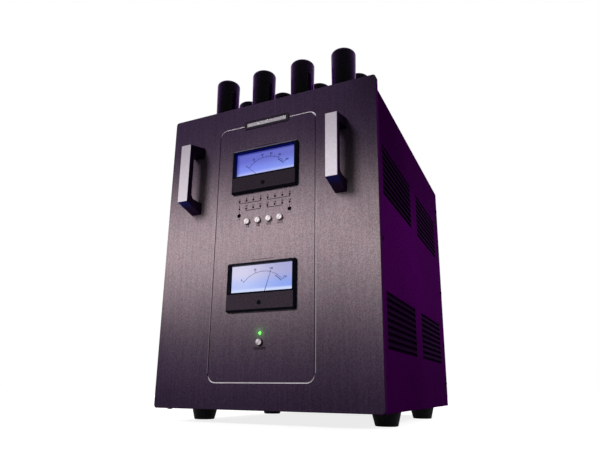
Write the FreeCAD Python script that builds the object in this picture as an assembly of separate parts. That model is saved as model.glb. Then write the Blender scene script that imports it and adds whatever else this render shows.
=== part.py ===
"""A tall mono tube power amplifier that stands on four feet.

Sizes are millimetres. X runs across the front, +Y to the back and +Z up. The origin is on the
floor, under the middle of the whole amplifier. The front panel faces -Y.
"""

import FreeCAD
import Part

import math
import os

V = FreeCAD.Vector

# Overall sizes
PANEL_WIDTH = 368.0
PANEL_HEIGHT = 488.0
PANEL_THICK = 10.0
SIDE_INSET = 3.0          # how far each side cover stands in from the panel's edge
DECK_DROP = 14.5          # how far the deck lies below the panel's top edge
BODY_DEPTH = 480.0        # behind the front panel
FOOT_HEIGHT = 20.0
HANDLE_REACH = 39.0
POST_REACH = 30.0         # how far the speaker posts stand out of the rear panel

# Sheet metal and frame
SIDE_THICK = 2.5
PLATE_THICK = 3.0
CORNER_POST = 20.0
SHELF_HEIGHT = 200.0      # above the bottom plate
SHELF_THICK = 3.0
SHELF_NOTCH_GAP = 5.0     # round the line meter's can

# Clearances
LIE_GAP = 0.3             # between pieces that lie beside each other
RUN_GAP = 0.06            # round a shaft, stem or stud in its bore
PLUG_GAP = 0.1            # round a tube's pins in their contacts
END_GAP = 1.0             # past the end of a pin, key or pivot in its bore
PAST = 1.0                # how far a cutting shape runs past the face that it cuts

# Front panel features
PANEL_CORNER = 5.0
PANEL_EDGE = 0.8          # how far the edges of its face are rounded
GROOVE_HALF = 86.7        # from the middle to the groove's centre line
GROOVE_MARGIN = 38.2      # from the panel's top and bottom edges
GROOVE_WIDE = 1.8
GROOVE_DEEP = 1.2
GROOVE_CORNER = 12.0
NAMEPLATE_WIDE = 81.0
NAMEPLATE_HIGH = 14.5
NAMEPLATE_THICK = 2.7
NAMEPLATE_POCKET = 1.5
NAMEPLATE_CORNER = 3.0

# Handles
HANDLE_WIDE = 19.0
HANDLE_BASE = 119.5       # height where it meets the panel
HANDLE_SLANT = 10.5       # each end leans in by this much at the bar
HANDLE_BAR = 10.0
HANDLE_WELL = 82.0        # height of the finger gap
HANDLE_WELL_CORNER = 8.0
HANDLE_EDGE = 1.2
HANDLE_FROM_EDGE = 56.5   # from the panel's side edge to the handle's middle
HANDLE_FROM_TOP = 121.8   # from the panel's top edge to the handle's middle
HANDLE_SCREW_IN = 9.5     # from the end of the base to the screw
HANDLE_SCREW_DEEP = 12.0

# Socket-head screws that come from behind into the handles and, through the posts, the panel
BOLT_RADIUS = 3.0
BOLT_HEAD_RADIUS = 5.0
BOLT_HEAD_THICK = 6.0
BOLT_KEY_RADIUS = 2.4
BOLT_KEY_DEEP = 3.0
PANEL_BOLT_DEEP = 7.0     # how far they reach into the panel

# Meters. Heights count up from the lower edge of the bezel, depths back from its face.
METER_WIDE = 117.3
METER_HIGH = 75.2
METER_PROUD = 6.2
METER_CORNER = 3.0        # of the bezel, more than its bevel
METER_BEVEL = 2.8
METER_DEEP = 40.0
METER_WALL = 1.2
METER_CAN_CORNER = 1.5
METER_LIP_SIDE = 2.6      # how far the bezel stands out past the can at its sides
METER_LIP_END = 1.75      # the same at its top and bottom
METER_WINDOW_WIDE = 107.0
METER_WINDOW_LOW = 28.9
METER_WINDOW_TOP = 71.1
METER_WINDOW_CORNER = 0.8
METER_GLASS_THICK = 1.5
METER_GLASS_LAP = 1.0
METER_DIAL_BACK = 10.0
METER_DIAL_THICK = 0.8
METER_DIAL_HOLE = 2.5
METER_PIVOT_UP = 17.0
METER_SCREW_UP = 12.3
METER_FROM_TOP = 83.2     # from the panel's top edge to the bias meter's top edge
METER_PITCH = 189.4       # from the line meter up to the bias meter
MOVEMENT_RADIUS = 11.0
MOVEMENT_PLATE = 2.0
MOVEMENT_FRONT = 12.0     # depth of the movement's nose
PIVOT_RADIUS = 0.6
PIVOT_FRONT = 7.0
PIVOT_END = 16.0
NEEDLE_REACH = 46.0
NEEDLE_TAIL = 9.0
NEEDLE_WIDE = 1.0
NEEDLE_THICK = 0.4
NEEDLE_DEPTH = 8.5
NEEDLE_HUB_RADIUS = 3.5
NEEDLE_HUB_THICK = 1.6
BIAS_NEEDLE_ANGLE = -48.0  # from straight up, clockwise for someone in front
LINE_NEEDLE_ANGLE = 17.5
ZERO_HEAD_RADIUS = 3.0
ZERO_HEAD_THICK = 0.9
ZERO_SHANK_RADIUS = 2.0
ZERO_SHANK_LONG = 6.8
SLOT_WIDE = 0.8
SLOT_DEEP = 0.5

# Lamps and buttons. Drops count down from the bias meter's lower edge.
LAMP_COLUMNS = 8
LAMP_PITCH = 12.7
LAMP_DROPS = (11.9, 24.6)
LAMP_RADIUS = 1.5
LAMP_HOLE = 1.7
LAMP_RECESS = 0.4
LAMP_SPACER_RADIUS = 2.5
BUTTON_COUNT = 4
BUTTON_PITCH = 19.05
BUTTON_DROP = 47.2
BUTTON_RADIUS = 5.0
BUTTON_PROUD = 4.0
BUTTON_COLLAR_LIP = 1.2
BUTTON_COLLAR_THICK = 1.4
BUTTON_COLLAR_GAP = 0.6
BUTTON_DISH = 0.5
BUTTON_STEM_RADIUS = 1.5
BUTTON_TRAVEL = 1.5
SWITCH_WIDE = 12.0
SWITCH_DEEP = 7.0
SWITCH_STEM_IN = 4.0
POWER_LAMP_DROP = 31.9    # down from the line meter's lower edge
POWER_BUTTON_DROP = 44.8
TRIMMER_DROP = 35.8
TRIMMER_HOLE = 2.75
TRIMMER_HEAD_RADIUS = 2.2
TRIMMER_RECESS = 3.0
TRIMMER_SHAFT_RADIUS = 1.5
TRIMMER_CAN = 9.5
TRIMMER_CAN_DEEP = 5.0
TRIMMER_FLOOR = 1.0
BOARD_STANDOFF = 16.0
BOARD_THICK = 1.6
BOARD_EDGE = 6.0          # from the outermost hole to the board's edge
STANDOFF_RADIUS = 3.0
STANDOFF_IN = 3.6         # from a board's edge to its standoffs
POWER_BOARD_HALF = 24.0

# Vents
SLOTS_PER_VENT = 9
SLOT_PITCH = 9.5
SLOT_HIGH = 5.0
VENT_FROM_FRONT = 24.0
VENT_FROM_REAR = 50.0
VENT_BAR = 46.0           # between the front vent and the rear vent
VENT_CENTRE_IN = 124.0    # from the cover's top and bottom edges to the vents' middles
DECK_VENT_MARGIN = 50.0   # in front of and behind the deck's rear vents

# Output tubes, in rows from the front
TUBE_COLUMNS = 4
TUBE_ROWS = 4
TUBE_PITCH = 76.0
TUBE_FROM_PANEL = 44.0
TUBE_RADIUS = 21.0
TUBE_LOW_RADIUS = 19.6    # the bulb narrows a little towards its foot
TUBE_TALL = 107.0         # above its seat, without the pins
TUBE_SHOULDER_RADIUS = 6.0
TUBE_CROWN_RADIUS = 45.0
TUBE_WALL = 1.2
TUBE_BASE_RADIUS = 18.0
TUBE_BASE_TALL = 15.0
TUBE_BASE_WALL = 1.9
TUBE_BASE_FLOOR = 3.0
TUBE_BASE_GAP = 0.3       # between the bulb's foot and the base's wall
TUBE_WAIST = 25.0         # height where the bulb reaches its full width
PIN_CIRCLE = 8.75
PIN_COUNT = 8
PIN_RADIUS = 1.18
PIN_LONG = 11.0
KEY_RADIUS = 3.9
KEY_LONG = 14.0
CAGE_STEM_RADIUS = 7.0
CAGE_LOW = 30.0
CAGE_TOP = 80.0
CAGE_WIDE = 30.0
CAGE_DEEP = 17.0
MICA_GAP = 0.4
MICA_THICK = 0.8
GETTER_RADIUS = 5.0
GETTER_TALL = 6.0
SOCKET_RADIUS = 17.0
SOCKET_RISE = 2.0         # above the deck
SOCKET_TALL = 20.0
DECK_HOLE_GAP = 2.0
TUBE_BOARD_THICK = 2.4
TUBE_BOARD_MARGIN = 20.0

# Inside
TRANSFORMER_COIL_GAP = 0.5
TRANSFORMER_COIL_CORNER = 16.0
TRANSFORMER_LIMB = 40.0
POWER_CORE = (170.0, 80.0, 142.0)
POWER_COIL_DEEP = 130.0
OUTPUT_CORE = (150.0, 70.0, 125.0)
OUTPUT_COIL_DEEP = 110.0
OUTPUT_FROM_PANEL = 140.0
TRANSFORMER_SPACE = 30.0  # between the two coils
CAN_RADIUS = 25.0
CAN_EDGE = 2.0
CAN_TERMINAL_RADIUS = 4.0
CAN_TERMINAL_TALL = 5.0
CAN_TALL = 105.0
CAN_PITCH_X = 66.0
CAN_PITCH_Y = 70.0
CAN_COLUMNS = 4
CAN_ROWS = 2
CAN_FROM_PANEL = 250.0
DRIVER_COUNT = 4
DRIVER_PITCH = 60.0
DRIVER_RADIUS = 11.0
DRIVER_TALL = 56.0
DRIVER_DOME = 7.0
DRIVER_FROM_PANEL = 105.0
DRIVER_BOARD_DEEP = 60.0
DRIVER_STANDOFF = 8.0

# Rear fittings. Heights count up from the underside of the body.
INLET_FROM_POST = 48.5    # from a corner post to the middle of the inlet, and of the input socket
INLET_UP = 70.0
INLET_FLANGE = (50.0, 32.0)
INLET_BODY = (38.0, 27.0)
INLET_MOUTH = (30.0, 20.0)
INLET_DEEP = 30.0
INLET_MOUTH_DEEP = 22.0
INLET_CORNER = 3.0
INLET_PIN = (5.0, 2.0, 16.0)
INLET_PIN_PITCH = 9.0
INLET_EARTH_RISE = 4.0    # the middle blade stands this much higher than the outer two
XLR_UP = 300.0
XLR_FLANGE = (26.0, 31.0)
XLR_CORNER = 3.0
XLR_RADIUS = 11.0
XLR_RING_RADIUS = 9.0     # outside of the slit that takes the plug's shell
XLR_RING_WIDE = 1.2
XLR_DEEP = 24.0
XLR_HOLE_RADIUS = 1.3
XLR_HOLE_CIRCLE = 4.2
XLR_HOLE_DEEP = 14.0
FLANGE_THICK = 2.0
POST_X = 70.0
POST_PITCH = 40.0
POST_UP = 95.0
POST_RADIUS = 4.0
POST_COLLAR_RADIUS = 9.0
POST_COLLAR_THICK = 5.0
POST_INSIDE = 14.0
POST_BORE_RADIUS = 2.0
POST_BORE_DEEP = 15.0
NUT_RADIUS = 9.5
NUT_LONG = 18.0
NUT_EDGE = 1.0
NUT_FLUTES = 12
NUT_FLUTE_RADIUS = 1.4
NUT_FLUTE_OUT = 0.5       # how far outside the nut's rim the flutes are centred
REAR_VENT_LONG = 120.0
REAR_VENT_UP = 385.0

# Cover screws and feet
SCREW_RADIUS = 2.0
SCREW_LONG = 12.0
SCREW_HEAD_RADIUS = 3.8
SCREW_HEAD_THICK = 2.0
SCREW_HEAD_EDGE = 1.2
SCREW_KEY_RADIUS = 1.25
SCREW_KEY_DEEP = 1.2
SCREW_HOLE_GAP = 0.25
SCREW_ENDS_IN = 45.0      # from a cover's end to its first screw
SCREW_STEP_UP = 20.0      # screws and bolts along Y stand this much above those along X
FOOT_TOP_RADIUS = 21.5
FOOT_BOTTOM_RADIUS = 16.5
FOOT_X_IN = 23.5          # from the side cover's face to the foot's middle
FOOT_FRONT = 98.0         # from the panel's face
FOOT_REAR = 340.0
FOOT_STUD_RADIUS = 3.0
FOOT_STUD_LONG = 9.0
FOOT_NUT_RADIUS = 5.5
FOOT_NUT_THICK = 4.5
FOOT_EDGE = 1.5

# Places worked out from the sizes above
FACE_Y = HANDLE_REACH - (HANDLE_REACH + PANEL_THICK + BODY_DEPTH + POST_REACH) / 2
BACK_Y = FACE_Y + PANEL_THICK
REAR_Y = BACK_Y + BODY_DEPTH
BASE_Z = FOOT_HEIGHT
PANEL_TOP = BASE_Z + PANEL_HEIGHT
DECK_Z = PANEL_TOP - DECK_DROP
BODY_HALF = PANEL_WIDTH / 2 - SIDE_INSET
INNER_HALF = BODY_HALF - SIDE_THICK
FLOOR_Z = BASE_Z + PLATE_THICK           # top of the bottom plate
CEILING_Z = DECK_Z - PLATE_THICK         # underside of the deck
SCREW_HEIGHTS = (BASE_Z + SCREW_ENDS_IN, (BASE_Z + DECK_Z) / 2, DECK_Z - SCREW_ENDS_IN)
BOLT_SEAT_Y = BACK_Y + HANDLE_SCREW_DEEP + PANEL_THICK - PANEL_BOLT_DEEP
INNER_REAR_Y = REAR_Y - PLATE_THICK
POST_IN_X = INNER_HALF - CORNER_POST     # inner face of the corner posts
SHELF_Z = FLOOR_Z + SHELF_HEIGHT
INLET_X = INLET_FROM_POST - POST_IN_X
XLR_X = POST_IN_X - INLET_FROM_POST
BIAS_METER_Z = PANEL_TOP - METER_FROM_TOP - METER_HIGH
LINE_METER_Z = BIAS_METER_Z - METER_PITCH
METER_FACE_Y = FACE_Y - METER_PROUD
BOARD_Y = BACK_Y + BOARD_STANDOFF        # front of the boards behind the panel
BUTTON_Z = BIAS_METER_Z - BUTTON_DROP
TRIMMER_Z = BIAS_METER_Z - TRIMMER_DROP
POWER_LAMP_Z = LINE_METER_Z - POWER_LAMP_DROP
POWER_BUTTON_Z = LINE_METER_Z - POWER_BUTTON_DROP
LAMP_LAST_X = LAMP_PITCH * (LAMP_COLUMNS - 1) / 2
VENT_LONG = (BODY_DEPTH - VENT_FROM_FRONT - VENT_FROM_REAR - VENT_BAR) / 2
HANDLE_Z = PANEL_TOP - HANDLE_FROM_TOP
HANDLE_X = PANEL_WIDTH / 2 - HANDLE_FROM_EDGE
SEAT_Z = DECK_Z + SOCKET_RISE
SOCKET_Z = SEAT_Z - SOCKET_TALL          # top of the tube board


def centred(count, pitch):
    """Evenly spaced places about zero."""
    return [pitch * (i - (count - 1) / 2) for i in range(count)]


def box(x, y, z):
    """A box between the low and high values given for each axis."""
    return Part.makeBox(x[1] - x[0], y[1] - y[0], z[1] - z[0], V(x[0], y[0], z[0]))


def rod_y(radius, x, z, y):
    """A cylinder along Y from y[0] to y[1]."""
    return Part.makeCylinder(radius, y[1] - y[0], V(x, y[0], z), V(0, 1, 0))


def rod_z(radius, x, y, z):
    """A cylinder along Z from z[0] to z[1]."""
    return Part.makeCylinder(radius, z[1] - z[0], V(x, y, z[0]), V(0, 0, 1))


def place(axis, u, v, w):
    """A point from its place across (u, v) and along (w) the named axis."""
    return {"x": V(w, u, v), "y": V(u, w, v), "z": V(u, v, w)}[axis]


def slab(axis, u, v, w, radius):
    """A plate with round corners. u and v are its spans, w its span along the axis."""
    corner = radius * (1 - math.sqrt(0.5))

    def at(a, b):
        return place(axis, a, b, w[0])

    lines = [
        (at(u[0] + radius, v[0]), at(u[1] - radius, v[0])),
        (at(u[1], v[0] + radius), at(u[1], v[1] - radius)),
        (at(u[1] - radius, v[1]), at(u[0] + radius, v[1])),
        (at(u[0], v[1] - radius), at(u[0], v[0] + radius)),
    ]
    bends = [
        at(u[1] - corner, v[0] + corner),
        at(u[1] - corner, v[1] - corner),
        at(u[0] + corner, v[1] - corner),
        at(u[0] + corner, v[0] + corner),
    ]
    edges = []
    for i, (start, end) in enumerate(lines):
        following = lines[(i + 1) % 4][0]
        if (end - start).Length > 1e-6:
            edges.append(Part.makeLine(start, end))
        edges.append(Part.Arc(end, bends[i], following).toShape())
    face = Part.Face(Part.Wire(edges))
    return face.extrude(place(axis, 0, 0, w[1]) - place(axis, 0, 0, w[0]))


def ball_radius(radius, rise):
    """The radius of the ball whose cap has this rim radius and rise."""
    return (radius**2 + rise**2) / (2 * rise)


def turned(points, x, y, z):
    """A solid of revolution about the upright axis at (x, y).

    The points are (radius, height) pairs. A third value in one is the bulge of the arc that
    leads to it from the point before: how far the arc's middle stands out of the chord.
    """
    edges = []
    closed = points + points[:1]
    for before, after in zip(closed, closed[1:]):
        start = V(before[0], 0, before[1])
        end = V(after[0], 0, after[1])
        if len(after) == 3 and after is not points[0]:
            chord = end - start
            out = V(chord.z, 0, -chord.x).normalize() * after[2]
            edges.append(Part.Arc(start, (start + end) * 0.5 + out, end).toShape())
        else:
            edges.append(Part.makeLine(start, end))
    solid = Part.Face(Part.Wire(edges)).revolve(V(0, 0, 0), V(0, 0, 1), 360)
    solid.translate(V(x, y, z))
    return solid


def save(name, *solids):
    """Writes one named piece, or one named group of alike pieces."""
    shape = solids[0] if len(solids) == 1 else Part.makeCompound(list(solids))
    shape.exportStep(os.path.join("parts", name + ".step"))


# Screws

def button_screw(x, y, z, direction):
    """A button-head screw whose head lies on the face at (x, y, z) and points along direction."""
    seat = V(x, y, z)
    crown = seat + direction * SCREW_HEAD_THICK
    shank = Part.makeCylinder(SCREW_RADIUS, SCREW_LONG, seat, direction * -1)
    head = Part.makeCylinder(SCREW_HEAD_RADIUS, SCREW_HEAD_THICK, seat, direction)
    rim = [e for e in head.Edges if e.BoundBox.Center.isEqual(crown, 0.01)]
    head = head.makeFillet(SCREW_HEAD_EDGE, rim)
    key = Part.makeCylinder(SCREW_KEY_RADIUS, SCREW_KEY_DEEP, crown, direction * -1)
    return head.cut(key).fuse(shank)


def screw_hole(x, y, z, direction, gap):
    """A hole for the screw above, through a cover and the post behind it."""
    start = V(x, y, z) + direction * PAST
    return Part.makeCylinder(SCREW_RADIUS + gap, SCREW_LONG + 2 * PAST, start, direction * -1)


def cover_screw_places():
    """(x, y, z, direction) of every cover screw, with the name of the cover it holds."""
    post_mid = INNER_HALF - CORNER_POST / 2
    front_mid = BACK_Y + CORNER_POST / 2
    rear_mid = INNER_REAR_Y - CORNER_POST / 2
    places = []
    for side, sign in (("left", -1), ("right", 1)):
        for y in (front_mid, rear_mid):
            for z in SCREW_HEIGHTS:
                places.append((side, (sign * BODY_HALF, y, z), V(sign, 0, 0)))
            places.append(("deck", (sign * post_mid, y, DECK_Z), V(0, 0, 1)))
            places.append(("bottom", (sign * post_mid, y, BASE_Z), V(0, 0, -1)))
        for z in SCREW_HEIGHTS:
            places.append(("rear", (sign * post_mid, REAR_Y, z + SCREW_STEP_UP), V(0, 1, 0)))
    return places


def holes_for(cover):
    """The screw holes of one cover."""
    found = [p for p in cover_screw_places() if p[0] == cover]
    return [screw_hole(*at, direction, SCREW_HOLE_GAP) for _, at, direction in found]


def bolt(x, z, start, end):
    """A socket-head bolt along Y: its shank runs from start to end, with the head behind end."""
    shank = rod_y(BOLT_RADIUS, x, z, (start, end))
    head = rod_y(BOLT_HEAD_RADIUS, x, z, (end, end + BOLT_HEAD_THICK))
    top = end + BOLT_HEAD_THICK
    return shank.fuse(head).cut(rod_y(BOLT_KEY_RADIUS, x, z, (top - BOLT_KEY_DEEP, top)))


def handle_bolt_places():
    """(x, z) of the four bolts that hold the handles."""
    reach = HANDLE_BASE / 2 - HANDLE_SCREW_IN
    return [(x, HANDLE_Z + dz) for x in (-HANDLE_X, HANDLE_X) for dz in (-reach, reach)]


def panel_bolt_places():
    """(x, z) of the six bolts that hold the front panel to the front posts."""
    post_mid = INNER_HALF - CORNER_POST / 2
    return [(x, z + SCREW_STEP_UP) for x in (-post_mid, post_mid) for z in SCREW_HEIGHTS]


def make_panel_bolts():
    """Ten alike bolts: those at the posts have their heads sunk into the posts."""
    bolts = [bolt(x, z, FACE_Y - HANDLE_SCREW_DEEP, BACK_Y) for x, z in handle_bolt_places()]
    bolts += [bolt(x, z, BACK_Y - PANEL_BOLT_DEEP, BOLT_SEAT_Y) for x, z in panel_bolt_places()]
    save("panel_bolts", *bolts)


def make_cover_screws():
    screws = [button_screw(*at, direction) for _, at, direction in cover_screw_places()]
    save("cover_screws", *screws)


# Front panel

def meter_hole(lower_z):
    """The opening in the panel behind a meter's bezel."""
    half = METER_WIDE / 2 - METER_LIP_SIDE + LIE_GAP
    low = lower_z + METER_LIP_END - LIE_GAP
    high = lower_z + METER_HIGH - METER_LIP_END + LIE_GAP
    return slab("y", (-half, half), (low, high), (FACE_Y - PAST, BACK_Y + PAST), METER_CAN_CORNER)


def lamp_places():
    """(x, z) of the sixteen tube lamps, one lamp for each output tube."""
    return [(x, BIAS_METER_Z - drop) for drop in LAMP_DROPS for x in centred(LAMP_COLUMNS, LAMP_PITCH)]


def button_places():
    """(x, z) of the meter buttons, then of the power button."""
    meter = [(x, BUTTON_Z) for x in centred(BUTTON_COUNT, BUTTON_PITCH)]
    return meter + [(0.0, POWER_BUTTON_Z)]


def make_front_panel():
    half = PANEL_WIDTH / 2
    panel = slab("y", (-half, half), (BASE_Z, PANEL_TOP), (FACE_Y, BACK_Y), PANEL_CORNER)
    panel = panel.makeFillet(PANEL_EDGE, [e for e in panel.Edges if e.BoundBox.YMax < FACE_Y + 0.01])

    outer = GROOVE_HALF + GROOVE_WIDE / 2
    inner = GROOVE_HALF - GROOVE_WIDE / 2
    low = BASE_Z + GROOVE_MARGIN
    high = PANEL_TOP - GROOVE_MARGIN
    edge = GROOVE_WIDE / 2
    depth = (FACE_Y - PAST, FACE_Y + GROOVE_DEEP)
    ring = slab("y", (-outer, outer), (low - edge, high + edge), depth, GROOVE_CORNER + edge)
    ring = ring.cut(slab("y", (-inner, inner), (low + edge, high - edge), depth, GROOVE_CORNER - edge))

    half_plate = NAMEPLATE_WIDE / 2 + LIE_GAP / 2
    half_high = NAMEPLATE_HIGH / 2 + LIE_GAP / 2
    pocket = slab(
        "y",
        (-half_plate, half_plate),
        (high - half_high, high + half_high),
        (FACE_Y - PAST, FACE_Y + NAMEPLATE_POCKET),
        NAMEPLATE_CORNER,
    )
    through = (FACE_Y - PAST, BACK_Y + PAST)
    holes = [meter_hole(BIAS_METER_Z), meter_hole(LINE_METER_Z)]
    holes += [rod_y(LAMP_HOLE, x, z, through) for x, z in lamp_places()]
    holes += [rod_y(LAMP_HOLE, 0, POWER_LAMP_Z, through)]
    holes += [rod_y(BUTTON_RADIUS + LIE_GAP, x, z, through) for x, z in button_places()]
    holes += [rod_y(TRIMMER_HOLE, x, TRIMMER_Z, through) for x in (-LAMP_LAST_X, LAMP_LAST_X)]
    holes += [rod_y(BOLT_RADIUS + LIE_GAP, x, z, through) for x, z in handle_bolt_places()]
    blind = (BACK_Y - PANEL_BOLT_DEEP - LIE_GAP, BACK_Y + PAST)
    holes += [rod_y(BOLT_RADIUS + RUN_GAP, x, z, blind) for x, z in panel_bolt_places()]
    panel = panel.cut([ring, pocket] + holes)
    save("front_panel", panel)


def make_nameplate():
    mid = PANEL_TOP - GROOVE_MARGIN
    half = NAMEPLATE_WIDE / 2
    half_high = NAMEPLATE_HIGH / 2
    back = FACE_Y + NAMEPLATE_POCKET
    heights = (mid - half_high, mid + half_high)
    plate = slab("y", (-half, half), heights, (back - NAMEPLATE_THICK, back), NAMEPLATE_CORNER)
    save("nameplate", plate)


def make_handle(name, x):
    """A machined bar handle: two posts and a bar, with ends that lean in towards the bar."""
    low = HANDLE_Z - HANDLE_BASE / 2
    high = HANDLE_Z + HANDLE_BASE / 2
    front = FACE_Y - HANDLE_REACH
    side = x - HANDLE_WIDE / 2
    corners = [
        V(side, FACE_Y, low),
        V(side, front, low + HANDLE_SLANT),
        V(side, front, high - HANDLE_SLANT),
        V(side, FACE_Y, high),
    ]
    block = Part.Face(Part.makePolygon(corners + corners[:1])).extrude(V(HANDLE_WIDE, 0, 0))
    block = block.makeFillet(HANDLE_EDGE, [e for e in block.Edges if e.BoundBox.YMin < FACE_Y - HANDLE_EDGE])
    well = slab(
        "x",
        (front + HANDLE_BAR, FACE_Y + HANDLE_WELL_CORNER * 2),
        (HANDLE_Z - HANDLE_WELL / 2, HANDLE_Z + HANDLE_WELL / 2),
        (side - PAST, side + HANDLE_WIDE + PAST),
        HANDLE_WELL_CORNER,
    )
    reach = HANDLE_BASE / 2 - HANDLE_SCREW_IN
    depth = (FACE_Y - HANDLE_SCREW_DEEP - PAST, FACE_Y + PAST)
    threads = [rod_y(BOLT_RADIUS + RUN_GAP, x, HANDLE_Z + dz, depth) for dz in (-reach, reach)]
    save(name, block.cut([well] + threads))


# Meters

CAN_HALF = METER_WIDE / 2 - METER_LIP_SIDE
CAN_INSIDE = CAN_HALF - METER_WALL


def depth_span(start, end):
    """A span in Y, counted back from the bezel's face."""
    return (METER_FACE_Y + start, METER_FACE_Y + end)


def can_heights(lower_z, margin):
    """The can's lowest and highest Z, drawn in by a margin."""
    low = lower_z + METER_LIP_END + margin
    return (low, lower_z + METER_HIGH - METER_LIP_END - margin)


def make_meter_case(name, lower_z):
    """Bevelled bezel, blank lower strip and can in one moulding, open at the back."""
    half = METER_WIDE / 2
    heights = (lower_z, lower_z + METER_HIGH)
    bezel = slab("y", (-half, half), heights, depth_span(0, METER_PROUD), METER_CORNER)
    bezel = bezel.makeChamfer(METER_BEVEL, [e for e in bezel.Edges if e.BoundBox.YMax < METER_FACE_Y + 0.01])
    can_depth = depth_span(METER_PROUD, METER_DEEP)
    can = slab("y", (-CAN_HALF, CAN_HALF), can_heights(lower_z, 0), can_depth, METER_CAN_CORNER)
    room_depth = depth_span(METER_PROUD, METER_DEEP + PAST)
    room = box((-CAN_INSIDE, CAN_INSIDE), room_depth, can_heights(lower_z, METER_WALL))
    through = depth_span(-PAST, METER_PROUD + PAST)
    window = slab(
        "y",
        (-METER_WINDOW_WIDE / 2, METER_WINDOW_WIDE / 2),
        (lower_z + METER_WINDOW_LOW, lower_z + METER_WINDOW_TOP),
        through,
        METER_WINDOW_CORNER,
    )
    hole = rod_y(ZERO_SHANK_RADIUS + RUN_GAP, 0, lower_z + METER_SCREW_UP, through)
    save(name, bezel.fuse(can).cut([room, window, hole]))


def meter_window(lower_z):
    """The clear pane behind the bezel's opening."""
    half = METER_WINDOW_WIDE / 2 + METER_GLASS_LAP
    heights = (
        lower_z + METER_WINDOW_LOW - METER_GLASS_LAP,
        lower_z + METER_WINDOW_TOP + METER_GLASS_LAP,
    )
    return box((-half, half), depth_span(METER_PROUD, METER_PROUD + METER_GLASS_THICK), heights)


def make_meter_dial(name, lower_z):
    """The scale plate, with a hole for the pivot."""
    half = CAN_INSIDE - LIE_GAP
    depth = depth_span(METER_DIAL_BACK, METER_DIAL_BACK + METER_DIAL_THICK)
    plate = box((-half, half), depth, can_heights(lower_z, METER_WALL + LIE_GAP))
    hole = rod_y(METER_DIAL_HOLE, 0, lower_z + METER_PIVOT_UP, depth_span(0, METER_DEEP))
    save(name, plate.cut(hole))


def meter_movement(lower_z):
    """Magnet, bearing and back plate of one meter."""
    half = CAN_INSIDE - LIE_GAP
    pivot = lower_z + METER_PIVOT_UP
    plate_depth = depth_span(METER_DEEP - MOVEMENT_PLATE, METER_DEEP)
    plate = box((-half, half), plate_depth, can_heights(lower_z, METER_WALL + LIE_GAP))
    magnet = rod_y(MOVEMENT_RADIUS, 0, pivot, depth_span(MOVEMENT_FRONT, METER_DEEP - MOVEMENT_PLATE))
    bore = depth_span(MOVEMENT_FRONT - PAST, PIVOT_END + END_GAP)
    bearing = rod_y(PIVOT_RADIUS + RUN_GAP, 0, pivot, bore)
    return plate.fuse(magnet).cut(bearing)


def make_meter_needle(name, lower_z, angle):
    """Pointer with its hub, counterweight and pivot, turned to where it stands at rest."""
    pivot = lower_z + METER_PIVOT_UP
    hub_front = NEEDLE_DEPTH - (NEEDLE_HUB_THICK - NEEDLE_THICK) / 2
    depth = depth_span(NEEDLE_DEPTH, NEEDLE_DEPTH + NEEDLE_THICK)
    half = NEEDLE_WIDE / 2
    tip = half / 3
    outline = [
        V(-half, depth[0], pivot),
        V(-tip, depth[0], pivot + NEEDLE_REACH),
        V(tip, depth[0], pivot + NEEDLE_REACH),
        V(half, depth[0], pivot),
    ]
    pointer = Part.Face(Part.makePolygon(outline + outline[:1])).extrude(V(0, NEEDLE_THICK, 0))
    tail = box((-NEEDLE_WIDE, NEEDLE_WIDE), depth, (pivot - NEEDLE_TAIL, pivot))
    hub = rod_y(NEEDLE_HUB_RADIUS, 0, pivot, depth_span(hub_front, hub_front + NEEDLE_HUB_THICK))
    shaft = rod_y(PIVOT_RADIUS, 0, pivot, depth_span(PIVOT_FRONT, PIVOT_END))
    needle = hub.fuse([pointer, tail, shaft])
    needle.rotate(V(0, 0, pivot), V(0, 1, 0), angle)
    save(name, needle)


def make_zero_screw(name, lower_z):
    """The slotted screw in the blank strip that sets the needle's zero."""
    up = lower_z + METER_SCREW_UP
    gap = PLUG_GAP
    head = rod_y(ZERO_HEAD_RADIUS, 0, up, depth_span(-gap - ZERO_HEAD_THICK, -gap))
    shank = rod_y(ZERO_SHANK_RADIUS, 0, up, depth_span(-gap, ZERO_SHANK_LONG))
    front = METER_FACE_Y - gap - ZERO_HEAD_THICK
    half = SLOT_WIDE / 2
    across = (-ZERO_HEAD_RADIUS, ZERO_HEAD_RADIUS)
    slot = box(across, (front - PAST, front + SLOT_DEEP), (up - half, up + half))
    save(name, head.fuse(shank).cut(slot))


def make_meters():
    meters = (
        ("bias_meter", BIAS_METER_Z, BIAS_NEEDLE_ANGLE),
        ("line_meter", LINE_METER_Z, LINE_NEEDLE_ANGLE),
    )
    for name, lower_z, angle in meters:
        make_meter_case(name + "_case", lower_z)
        make_meter_dial(name + "_dial", lower_z)
        make_meter_needle(name + "_needle", lower_z, angle)
        make_zero_screw(name + "_zero_screw", lower_z)
    save("meter_windows", *[meter_window(lower_z) for _, lower_z, _ in meters])
    save("meter_movements", *[meter_movement(lower_z) for _, lower_z, _ in meters])


# Lamps, buttons, trimmers and their boards

def lamp(x, z):
    """A lamp whose lens stands in the panel, on a spacer from its board."""
    lens = rod_y(LAMP_RADIUS, x, z, (FACE_Y + LAMP_RECESS, BACK_Y + LIE_GAP))
    front_rim = [e for e in lens.Edges if e.BoundBox.YMax < FACE_Y + LAMP_RECESS + 0.01]
    lens = lens.makeFillet(LAMP_RADIUS * 0.8, front_rim)
    spacer = rod_y(LAMP_SPACER_RADIUS, x, z, (BACK_Y + LIE_GAP, BOARD_Y))
    return lens.fuse(spacer)


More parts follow.
